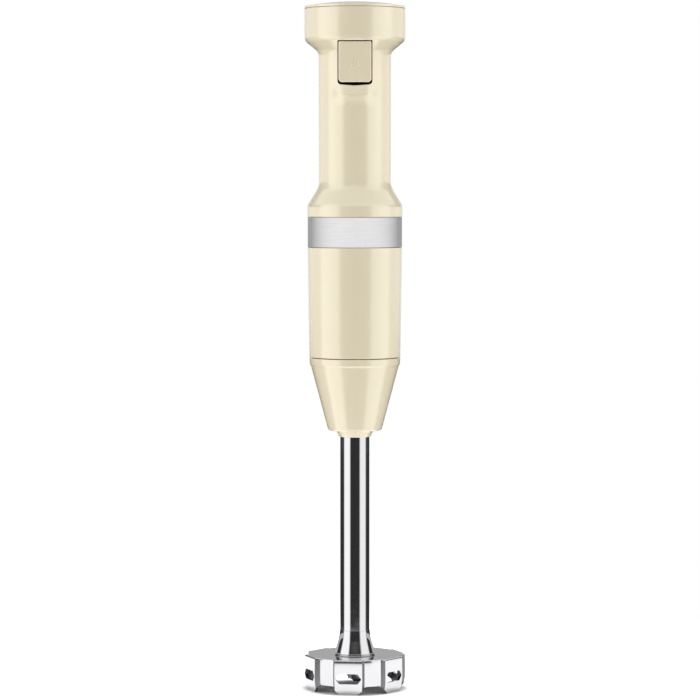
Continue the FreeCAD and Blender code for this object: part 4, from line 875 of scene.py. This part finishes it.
steel_parts = surface("polished_steel", (0.52, 0.52, 0.53, 1.0), 0.085, metallic=1.0, patch=120.0)
POLISHED_STEEL = wheel_finish(steel_parts, 900.0, 4.0, 0.05, 0.002 * MM)
TUBE_FOOT, TUBE_TOP = level("shaft_tube", 0), level("shaft_tube", 1)
tube_corners = [
    (TUBE_R - 0.6, TUBE_FOOT),
    (TUBE_R, TUBE_FOOT, 0.15),
    (TUBE_R, TUBE_TOP, 0.15),
    (TUBE_R - 0.6, TUBE_TOP),
]
tube = evened(turned("shaft_tube_skin", rounded(tube_corners, 30.0), POLISHED_STEEL, 160))
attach(tube, "arm")
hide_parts("shaft_tube")

# ------------------------------------------------------------------------------------------------
# Blade guard: pressed and polished steel. Six lobes with flat faces carry the slots that throw the
# food out. The smooth panels between them end in arches, so that the guard stands on six feet.
# ------------------------------------------------------------------------------------------------
NECK_TOP = level("blade_guard", 1)
GUARD_H = NECK_TOP - 14.5
GUARD_R = 30.1
FACET_R, FACET_HALF = GUARD_R - 0.85, 8.3
PANEL_R, PANEL_HALF = GUARD_R - 1.85, 10.6
GUARD_TURN = -7.7
GUARD_SIDES = 6
GUARD_STEP = 360.0 / GUARD_SIDES
CORNER_TURN = math.degrees(math.atan2(FACET_HALF, FACET_R))
PANEL_TURN = GUARD_STEP / 2.0 - PANEL_HALF


def guard_angles():
    """Directions of one lobe and one panel, closer together where the outline bends."""
    spans = ((-CORNER_TURN, CORNER_TURN, 14), (CORNER_TURN, PANEL_TURN, 8))
    spans += ((PANEL_TURN, GUARD_STEP - PANEL_TURN, 16),)
    spans += ((GUARD_STEP - PANEL_TURN, GUARD_STEP - CORNER_TURN, 8),)
    one = [a + (b - a) * k / parts for a, b, parts in spans for k in range(parts)]
    return [GUARD_STEP * i + a for i in range(GUARD_SIDES) for a in one]


def guard_reach(degrees):
    """Distance of the guard's outline from the axis, seen from a lobe's middle."""
    a = abs((degrees + GUARD_STEP / 2.0) % GUARD_STEP - GUARD_STEP / 2.0)
    if a <= CORNER_TURN:
        return FACET_R / math.cos(math.radians(a))
    if a >= PANEL_TURN:
        bow = 1.0 - ((GUARD_STEP / 2.0 - a) / PANEL_HALF) ** 2
        return PANEL_R + 0.2 * bow
    t = (a - CORNER_TURN) / (PANEL_TURN - CORNER_TURN)
    start = FACET_R / math.cos(math.radians(CORNER_TURN))
    return start + (PANEL_R - start) * (1.0 - (1.0 - t) ** 1.35)


def barrel(z):
    """The guard is widest at two fifths of its height and draws in towards its top and its feet."""
    t = (z - 0.45 * GUARD_H) / (0.55 * GUARD_H)
    return 1.0 - (0.006 if t > 0 else 0.074) * t * t


def guard_rows():
    """Rows of the closed section: share of the outline's reach, distance added to it, and height."""
    rows = []
    fillet = 0.8
    neck_r = TUBE_R + 0.25
    for share in (0.10, 0.35, 0.6, 0.8, 0.93):
        rows.append((share, -fillet * share, GUARD_H))
    for k in range(7):
        a = math.radians(15.0 * k)
        rows.append((1.0, -fillet * (1.0 - math.sin(a)), GUARD_H - fillet * (1.0 - math.cos(a))))
    for k in range(1, 15):
        rows.append((1.0, 0.0, (GUARD_H - fillet) * (1.0 - k / 14.0)))
    for k in range(0, 13):
        rows.append((1.0, -1.75, (GUARD_H - 4.0) * k / 12.0))
    for k in range(1, 6):
        a = math.radians(18.0 * k)
        rows.append((1.0, -1.75 - 2.2 * (1.0 - math.cos(a)), GUARD_H - 4.0 + 2.2 * math.sin(a)))
    return rows, neck_r


def guard_form():
    form = bmesh.new()
    rows, neck_r = guard_rows()
    root_r = TUBE_R + 3.2
    hub = [
        (7.2, GUARD_H - 1.8), (7.2, 13.4 + 0.3), (6.9, 13.4), (6.0, 13.4), (6.0, TUBE_FOOT - 0.05),
        (TUBE_R + 0.03, TUBE_FOOT - 0.05), (TUBE_R + 0.03, NECK_TOP),
    ]
    flare = rounded([
        (0.0, NECK_TOP), (neck_r, NECK_TOP, 0.08), (neck_r, GUARD_H + 11.4, 22.0),
        (neck_r + 3.0, GUARD_H + 1.1), (0.0, GUARD_H),
    ], 3.0)
    neck = [(p.x, p.y) for p in flare if p.x > neck_r - 0.2 and p.y > GUARD_H + 0.5]
    for a in (0.5, 1.2, 2.0, 2.7):
        neck.append((neck_r + 3.0 + 0.35 * math.sin(a), GUARD_H + 0.85 + 0.25 * math.cos(a)))
    neck += [(root_r - 0.1, GUARD_H + 0.3), (root_r + 0.1, GUARD_H + 0.05)]
    columns = []
    for turn in guard_angles():
        a = math.radians(-90.0 + GUARD_TURN + turn)
        reach = guard_reach(turn)
        column = list(neck)
        for share, extra, z in rows:
            edge = reach * barrel(z) + (extra if share == 1.0 else -1.5)
            r = edge if share == 1.0 else root_r + (edge - root_r) * share
            column.append((r, z))
        column += hub
        columns.append([on_circle(form, r, z, a) for r, z in column])
    for here, ahead in zip(columns, columns[1:] + columns[:1]):
        for k in range(len(here)):
            n = (k + 1) % len(here)
            form.faces.new((here[k], ahead[k], ahead[n], here[n]))
    return form


SLOT_Z, SLOT_HALF_W, SLOT_HALF_H, SLOT_CUT = 9.7, 7.8, 3.0, 2.3
slot_outline = rounded([
    (-SLOT_HALF_W + SLOT_CUT, SLOT_Z - SLOT_HALF_H, 0.9), (SLOT_HALF_W - SLOT_CUT, SLOT_Z - SLOT_HALF_H, 0.9),
    (SLOT_HALF_W, SLOT_Z, 0.9), (SLOT_HALF_W - SLOT_CUT, SLOT_Z + SLOT_HALF_H, 0.9),
    (-SLOT_HALF_W + SLOT_CUT, SLOT_Z + SLOT_HALF_H, 0.9), (-SLOT_HALF_W, SLOT_Z, 0.9),
], 12.0)
arch_outline = rounded([(-10.4, -0.5), (10.4, -0.5), (4.6, 4.9, 3.2), (-4.6, 4.9, 3.2)], 8.0)


def repeat_tree():
    """Geometry nodes: repeats a piece at equal steps round the drive axis."""
    tree = bpy.data.node_groups.new("repeat_round_axis", "GeometryNodeTree")
    face = tree.interface
    face.new_socket("Geometry", in_out="INPUT", socket_type="NodeSocketGeometry")
    face.new_socket("Count", in_out="INPUT", socket_type="NodeSocketInt").default_value = 6
    face.new_socket("First Turn", in_out="INPUT", socket_type="NodeSocketFloat").default_value = 0.0
    face.new_socket("Material", in_out="INPUT", socket_type="NodeSocketMaterial")
    face.new_socket("Geometry", in_out="OUTPUT", socket_type="NodeSocketGeometry")
    given, out = tree.nodes.new("NodeGroupInput"), tree.nodes.new("NodeGroupOutput")
    points = tree.nodes.new("GeometryNodePoints")
    wire(tree, given.outputs["Count"], points.inputs["Count"])
    step = sums(tree, "DIVIDE", 2.0 * math.pi, given.outputs["Count"])
    first = sums(tree, "MULTIPLY", given.outputs["First Turn"], math.pi / 180.0)
    index = tree.nodes.new("GeometryNodeInputIndex")
    turn = tree.nodes.new("ShaderNodeCombineXYZ")
    wire(tree, sums(tree, "MULTIPLY_ADD", index.outputs[0], step, first), turn.inputs["Z"])
    placed = tree.nodes.new("GeometryNodeInstanceOnPoints")
    wire(tree, points.outputs[0], placed.inputs["Points"])
    wire(tree, given.outputs["Geometry"], placed.inputs["Instance"])
    wire(tree, turn.outputs[0], placed.inputs["Rotation"])
    real = tree.nodes.new("GeometryNodeRealizeInstances")
    wire(tree, placed.outputs[0], real.inputs[0])
    coloured = tree.nodes.new("GeometryNodeSetMaterial")
    wire(tree, real.outputs[0], coloured.inputs["Geometry"])
    wire(tree, given.outputs["Material"], coloured.inputs["Material"])
    wire(tree, coloured.outputs[0], out.inputs[0])
    return tree


REPEAT = repeat_tree()


def with_nodes(piece, tree, **inputs):
    """Runs a geometry node tree on the piece and keeps its result. Underscores stand for spaces."""
    run = piece.modifiers.new(tree.name, "NODES")
    run.node_group = tree
    for item in tree.interface.items_tree:
        key = item.name.replace(" ", "_")
        if item.in_out == "INPUT" and key in inputs:
            run[item.identifier] = inputs[key]
    return settled(piece)


def repeated(name, form, material, count, first, sharp=32.0):
    """The form, repeated round the drive axis."""
    piece = as_piece(name, form, material, sharp)
    with_nodes(piece, REPEAT, Count=count, First_Turn=first, Material=material)
    piece.data.set_sharp_from_angle(angle=math.radians(sharp))
    return piece


def taken(piece):
    """The piece's mesh as a form, and the piece removed."""
    form = bmesh.new()
    form.from_mesh(piece.data)
    bpy.data.objects.remove(piece)
    return form


# A darker steel that paints shade: on the cheeks beside the lobes it stands for the dark reflections of the
# neighbouring lobes, and inside the guard for the shade there.
PAINTED_SHADE_STEEL = metal("dull_steel", (0.17, 0.17, 0.175, 1.0), 0.38, 160.0, 0.1)
guard = as_piece("blade_guard_shell", guard_form(), POLISHED_STEEL)
cuts = []
for cut_name, outline, first in (("slots", slot_outline, 0.0), ("arches", arch_outline, GUARD_STEP / 2.0)):
    form = prism(outline, 22.0, 34.0)
    cuts.append(taken(repeated(cut_name, form, POLISHED_STEEL, GUARD_SIDES, GUARD_TURN + first)))
carved(guard, cuts, 0.3)
guard.data.materials.append(PAINTED_SHADE_STEEL)
# The cheeks beside the lobes and the faces inside the guard take the darker steel, as painted reflection and
# painted shade.
for face in guard.data.polygons:
    centre = Vector((face.center.x, face.center.y))
    outwards = Vector((face.normal.x, face.normal.y)).dot(centre.normalized())
    inside = outwards < -0.3 or face.normal.z < -0.6
    turn = math.degrees(math.atan2(centre.y, centre.x)) + 90.0 - GUARD_TURN
    turn = abs((turn + GUARD_STEP / 2.0) % GUARD_STEP - GUARD_STEP / 2.0)
    reach, z = centre.length / MM, face.center.z / MM
    cheek = CORNER_TURN < turn < PANEL_TURN and reach > 25.0 and z < GUARD_H - 1.0
    if cheek or (inside and 9.0 < reach < 28.6 and 0.5 < z < GUARD_H - 0.5):
        face.material_index = 1
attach(evened(guard), "arm")
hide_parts("blade_guard")

# ------------------------------------------------------------------------------------------------
# Blade: one stamping of hard steel with four wings, bent up and down by turns and ground sharp
# along their leading edges. It turns just above the guard's feet, held by a nut.
# ------------------------------------------------------------------------------------------------
GROUND_STEEL = metal("ground_steel", (0.30, 0.305, 0.315, 1.0), 0.3, 300.0, 0.2)
BLADE_Z, BLADE_T, BLADE_TIP = level("blade_nut", 1), 1.2, 22.5
KNEE, ROOT_HALF = 8.5, 3.9


def wing_form(lift):
    """One wing in stations from the hub outwards. Its leading edge thins to a ground edge."""
    form = bmesh.new()
    rows = []
    slope = math.tan(math.radians(lift))
    for k in range(15):
        r = 3.4 + (BLADE_TIP - 3.4) * k / 14.0
        t = max(0.0, (r - KNEE) / (BLADE_TIP - KNEE))
        lead = ROOT_HALF - 1.0 * t - 1.9 * max(0.0, t - 0.72) / 0.28
        trail = -ROOT_HALF + 1.3 * t + 2.2 * max(0.0, t - 0.8) / 0.2
        bend = max(0.0, r - KNEE) + 0.6 * math.exp(-((r - KNEE) / 1.2) ** 2)
        mid = BLADE_Z + BLADE_T / 2.0 + (bend * slope if t > 0.0 else 0.0)
        half = BLADE_T / 2.0
        ground = min(1.0, t * 4.0)
        grind, edge = 1.5 * ground, half * (1.0 - 0.8 * ground)
        row = [(r, trail, mid - half), (r, lead - grind, mid - half), (r, lead, mid - edge)]
        row += [(r, lead, mid + edge), (r, lead - grind, mid + half), (r, trail, mid + half)]
        rows.append([form.verts.new((x * MM, y * MM, z * MM)) for x, y, z in row])
    for here, ahead in zip(rows, rows[1:]):
        for k in range(6):
            n = (k + 1) % 6
            form.faces.new((here[k], here[n], ahead[n], ahead[k]))
    form.faces.new(rows[0])
    form.faces.new(rows[-1])
    return form


blade_mesh = taken(turned("blade_disc", rounded([
    (2.25, BLADE_Z), (5.6, BLADE_Z, 0.15), (5.6, BLADE_Z + BLADE_T, 0.15), (2.25, BLADE_Z + BLADE_T),
]), GROUND_STEEL, 64))
for lift, first in ((15.0, 24.0), (-14.0, 114.0)):
    pair = repeated("wings", wing_form(lift), GROUND_STEEL, 2, first)
    blade_mesh.from_mesh(pair.data)
    bpy.data.objects.remove(pair)
blade = as_piece("blade_stamping", blade_mesh, GROUND_STEEL, 28.0)
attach(blade, "blade_drive")
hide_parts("blade")

# ------------------------------------------------------------------------------------------------
# Charging socket: a dark moulding on the control board. Its nose fills the hole at the back of the
# handle, with a funnelled opening and a contact pin in the middle.
# ------------------------------------------------------------------------------------------------
black_parts = surface("matt_black_plastic", (0.02, 0.02, 0.022, 1.0), 0.5, spread=0.1, skin=2400.0, bump=0.25)
MATT_BLACK = black_parts[0]
PLATED_STEEL = metal("plated_steel", (0.62, 0.63, 0.65, 1.0), 0.3, 220.0, 0.1)
NOSE_R, NOSE_Y, JACK_R, JACK_DEEP = 4.2, SOCKET_HIGH.y / MM, 1.8, 10.0


def rearwards(piece):
    """Lays a piece turned about the drive axis on its side, so that its top faces the rear."""
    for vertex in piece.data.vertices:
        x, y, z = vertex.co
        vertex.co = (-x, z, SOCKET_Z * MM + y)
    return piece


nose = rounded([
    (0.0, NOSE_Y - JACK_DEEP), (JACK_R, NOSE_Y - JACK_DEEP), (JACK_R, NOSE_Y - 0.7),
    (JACK_R + 0.55, NOSE_Y - 0.1, 0.2), (NOSE_R - 1.3, NOSE_Y - 0.1, 0.2), (NOSE_R - 1.1, NOSE_Y, 0.1),
    (NOSE_R, NOSE_Y, 0.35), (NOSE_R, NOSE_Y - 12.0), (0.0, NOSE_Y - 12.0),
], 15.0)
socket_mesh = taken(rearwards(turned("nose", nose, MATT_BLACK, 72)))
body_side = 4.6
body_outline = rounded([(x * body_side, SOCKET_Z + z * body_side, 0.5) for x, z in PILL_CORNERS])
join(socket_mesh, prism(body_outline, -(NOSE_Y - 4.4), SOCKET_LOW.y / -MM))
charge_socket = as_piece("charge_socket_body", socket_mesh, MATT_BLACK)
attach(charge_socket, "motor_body")
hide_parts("charge_socket")
PIN_R, PIN_FOOT, PIN_TIP = 0.55, NOSE_Y - JACK_DEEP, NOSE_Y - 3.0
pin = rounded([(0.0, PIN_FOOT), (PIN_R, PIN_FOOT), (PIN_R, PIN_TIP, 0.4), (0.0, PIN_TIP)], 20.0)
socket_pin = rearwards(turned("charge_socket_pin", pin, PLATED_STEEL, 32))
socket_pin = as_piece("charge_socket_contact", taken(socket_pin), PLATED_STEEL)
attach(socket_pin, "motor_body")

# ------------------------------------------------------------------------------------------------
# Springs of the trigger and of the lock button: cold-coiled wire with closed ends.
# ------------------------------------------------------------------------------------------------


def coil_tree():
    """Geometry nodes: a coil of round wire that stands on the origin."""
    tree = bpy.data.node_groups.new("wire_coil", "GeometryNodeTree")
    face = tree.interface
    for label, value in (("Turns", 6.0), ("Length", 0.01), ("Coil Radius", 0.003), ("Wire Radius", 0.0003)):
        face.new_socket(label, in_out="INPUT", socket_type="NodeSocketFloat").default_value = value
    face.new_socket("Material", in_out="INPUT", socket_type="NodeSocketMaterial")
    face.new_socket("Geometry", in_out="OUTPUT", socket_type="NodeSocketGeometry")
    given, out = tree.nodes.new("NodeGroupInput"), tree.nodes.new("NodeGroupOutput")
    spiral = tree.nodes.new("GeometryNodeCurveSpiral")
    spiral.inputs["Resolution"].default_value = 28
    for label, target in (("Turns", "Rotations"), ("Length", "Height"), ("Coil Radius", "Start Radius")):
        wire(tree, given.outputs[label], spiral.inputs[target])
    wire(tree, given.outputs["Coil Radius"], spiral.inputs["End Radius"])
    section = tree.nodes.new("GeometryNodeCurvePrimitiveCircle")
    section.inputs["Resolution"].default_value = 12
    wire(tree, given.outputs["Wire Radius"], section.inputs["Radius"])
    swept = tree.nodes.new("GeometryNodeCurveToMesh")
    swept.inputs["Fill Caps"].default_value = True
    wire(tree, spiral.outputs[0], swept.inputs["Curve"])
    wire(tree, section.outputs[0], swept.inputs["Profile Curve"])
    real = tree.nodes.new("GeometryNodeRealizeInstances")
    wire(tree, swept.outputs[0], real.inputs[0])
    coloured = tree.nodes.new("GeometryNodeSetMaterial")
    wire(tree, real.outputs[0], coloured.inputs["Geometry"])
    wire(tree, given.outputs["Material"], coloured.inputs["Material"])
    wire(tree, coloured.outputs[0], out.inputs[0])
    return tree


COIL = coil_tree()


def spring(node_name, wire_r, turns):
    """A coil along Y that fills the CAD spring's box from its seat at the box's low end."""
    low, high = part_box(node_name)
    coil_r = (high.z - low.z) / 2.0 - wire_r
    run = high.y - low.y - 2.0 * wire_r
    piece = as_piece(node_name + "_coil", bmesh.new(), PLATED_STEEL)
    sizes = {"Turns": turns, "Length": run, "Coil_Radius": coil_r, "Wire_Radius": wire_r}
    with_nodes(piece, COIL, Material=PLATED_STEEL, **sizes)
    middle = (low.z + high.z) / 2.0
    for vertex in piece.data.vertices:
        x, y, z = vertex.co
        vertex.co = (-x, low.y + wire_r + z, middle + y)
    piece.data.shade_smooth()
    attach(piece, "motor_body")
    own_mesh(piece)
    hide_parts(node_name)


spring("trigger_spring", 0.3 * MM, 6.0)
spring("lock_spring", 0.28 * MM, 5.0)

# ------------------------------------------------------------------------------------------------
# Screws: plated pan heads with a cross recess. Four hold the cap's tabs, three hold the arm socket
# to the chassis, two hold the motor and three hold the arm's collar to its core.
# ------------------------------------------------------------------------------------------------


def screw_form(circle, head_z, tip_z, shank_r, head_r, head_h, down):
    """A pan-head screw at the given radius on +X. With down, its head is its upper end."""
    way = -1.0 if down else 1.0
    span = abs(head_z - tip_z)
    pitch, thread = 0.5, 0.18
    profile = rounded([
        (0.0, 0.0), (head_r - 0.5, 0.0, 0.8), (head_r, head_h * 0.7, 0.3), (head_r, head_h),
        (shank_r, head_h), (shank_r, span - 0.6), (shank_r * 0.4, span), (0.0, span),
    ], 15.0)
    ridged = []
    for a, b in zip(profile, profile[1:] + profile[:1]):
        ridged.append(a)
        if abs(a.x - shank_r) < 1e-6 and abs(b.x - shank_r) < 1e-6:
            turns = int((b.y - a.y) / pitch)
            for k in range(1, 2 * turns):
                ridged.append(Vector((shank_r - (thread if k % 2 else 0.0), a.y + pitch / 2.0 * k)))
    screw = turned("screw", ridged, PLATED_STEEL, 28)
    slot_w, slot_l = head_r * 0.3, head_r * 1.15
    for half_w, half_l in ((slot_w / 2.0, slot_l / 2.0), (slot_l / 2.0, slot_w / 2.0)):
        corners = [Vector((x * half_w, z * half_l)) for x, z in PILL_CORNERS]
        carved(screw, [prism(corners, -0.5, head_h * 0.6, (1, 0, 0), (0, 1, 0))])
    for vertex in screw.data.vertices:
        x, y, z = vertex.co
        vertex.co = (circle * MM + x, -y * way, head_z * MM + way * z)
    return taken(screw)


def screw_set(node_name, body, turns, count, circle, size, down):
    """Screws round the drive axis between the heights of their CAD node."""
    low, high = level(node_name, 0), level(node_name, 1)
    head_z, tip_z = (high, low) if down else (low, high)
    both = bmesh.new()
    for first in turns:
        some = repeated("screws", screw_form(circle, head_z, tip_z, *size, down), PLATED_STEEL, count, first)
        both.from_mesh(some.data)
        bpy.data.objects.remove(some)
    piece = as_piece(node_name + "_set", both, PLATED_STEEL)
    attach(piece, body)
    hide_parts(node_name)


TAB_CIRCLE = HEAD_R - WALL - 6.0
SOCKET_CIRCLE, MOTOR_CIRCLE = 20.4, 12.5
COLLAR_CIRCLE = COLLAR_R - 1.9 - 3.2
screw_set("cap_screws", "motor_body", (40.0, 140.0), 2, TAB_CIRCLE, (1.1, 2.4, 1.6), True)
screw_set("socket_screws", "motor_body", (90.0,), 3, SOCKET_CIRCLE, (1.1, 2.2, 1.6), False)
screw_set("motor_screws", "motor_body", (0.0,), 2, MOTOR_CIRCLE, (1.2, 2.8, 1.7), False)
screw_set("collar_screws", "arm", (30.0,), 3, COLLAR_CIRCLE, (1.1, 2.2, 1.5), True)

# ------------------------------------------------------------------------------------------------
# Everything inside keeps its CAD shape. Each slot has its own finish.
# ------------------------------------------------------------------------------------------------
satin_grey = surface("satin_nylon", (0.15, 0.12, 0.07, 1.0), 0.42, spread=0.1, skin=2000.0, bump=0.2)
glassy_nylon = surface("filled_nylon", (0.035, 0.035, 0.037, 1.0), 0.46, spread=0.12, skin=3200.0, bump=0.3)
rubber = surface("seal_rubber", (0.017, 0.017, 0.018, 1.0), 0.62, spread=0.12, skin=1800.0, bump=0.3)
cell_wrap = surface("cell_sleeve", (0.055, 0.045, 0.03, 1.0), 0.4, spread=0.08)
nickel = surface("nickel_strip", (0.58, 0.55, 0.48, 1.0), 0.3, metallic=1.0, spread=0.1)
mask = surface("solder_mask", (0.008, 0.09, 0.03, 1.0), 0.28, spread=0.1, patch=400.0)
light_guide = surface("light_guide", (0.62, 0.86, 0.66, 1.0), 0.15, spread=0.04)
ferrite = surface("ferrite", (0.03, 0.03, 0.032, 1.0), 0.55, metallic=0.3, spread=0.15, skin=2600.0, bump=0.4)
bronze_colour = (0.42, 0.24, 0.10, 1.0)
bronze = surface("sintered_bronze", bronze_colour, 0.45, metallic=1.0, spread=0.12, skin=2600.0, bump=0.35)
copper = surface("enamelled_copper", (0.60, 0.20, 0.07, 1.0), 0.25, metallic=1.0, spread=0.1, patch=500.0)
laminate = surface("core_laminations", (0.26, 0.26, 0.27, 1.0), 0.4, metallic=1.0, spread=0.1)
carbon = surface("pressed_carbon", (0.014, 0.014, 0.014, 1.0), 0.6, metallic=0.2, spread=0.1, bump=0.3)
red_wire = surface("red_insulation", (0.16, 0.012, 0.008, 1.0), 0.45, spread=0.1)
black_wire = surface("black_insulation", (0.012, 0.012, 0.012, 1.0), 0.35, spread=0.1)
slot_finish = {
    "cream_gloss": CREAM,
    "brushed_trim": BRUSHED_BAND,
    "polished_steel": POLISHED_STEEL,
    "blade_steel": GROUND_STEEL,
    "plated_steel": PLATED_STEEL,
    "dark_plastic": MATT_BLACK,
    "engineering_plastic": satin_grey[0],
    "jaw_plastic": glassy_nylon[0],
    "seal_rubber": rubber[0],
    "cell_sleeve": cell_wrap[0],
    "nickel_strip": nickel[0],
    "board_green": mask[0],
    "clear_light": light_guide[0],
    "ferrite": ferrite[0],
    "bearing_bronze": bronze[0],
    "copper": copper[0],
    "core_steel": laminate[0],
    "carbon": carbon[0],
    "lead_red": red_wire[0],
    "lead_black": black_wire[0],
}
for part in frame["record"]["subparts"]:
    carried = frame["nodes"][part["node"]]
    carried.data.materials.clear()
    carried.data.materials.append(slot_finish[part["material_slot"]])
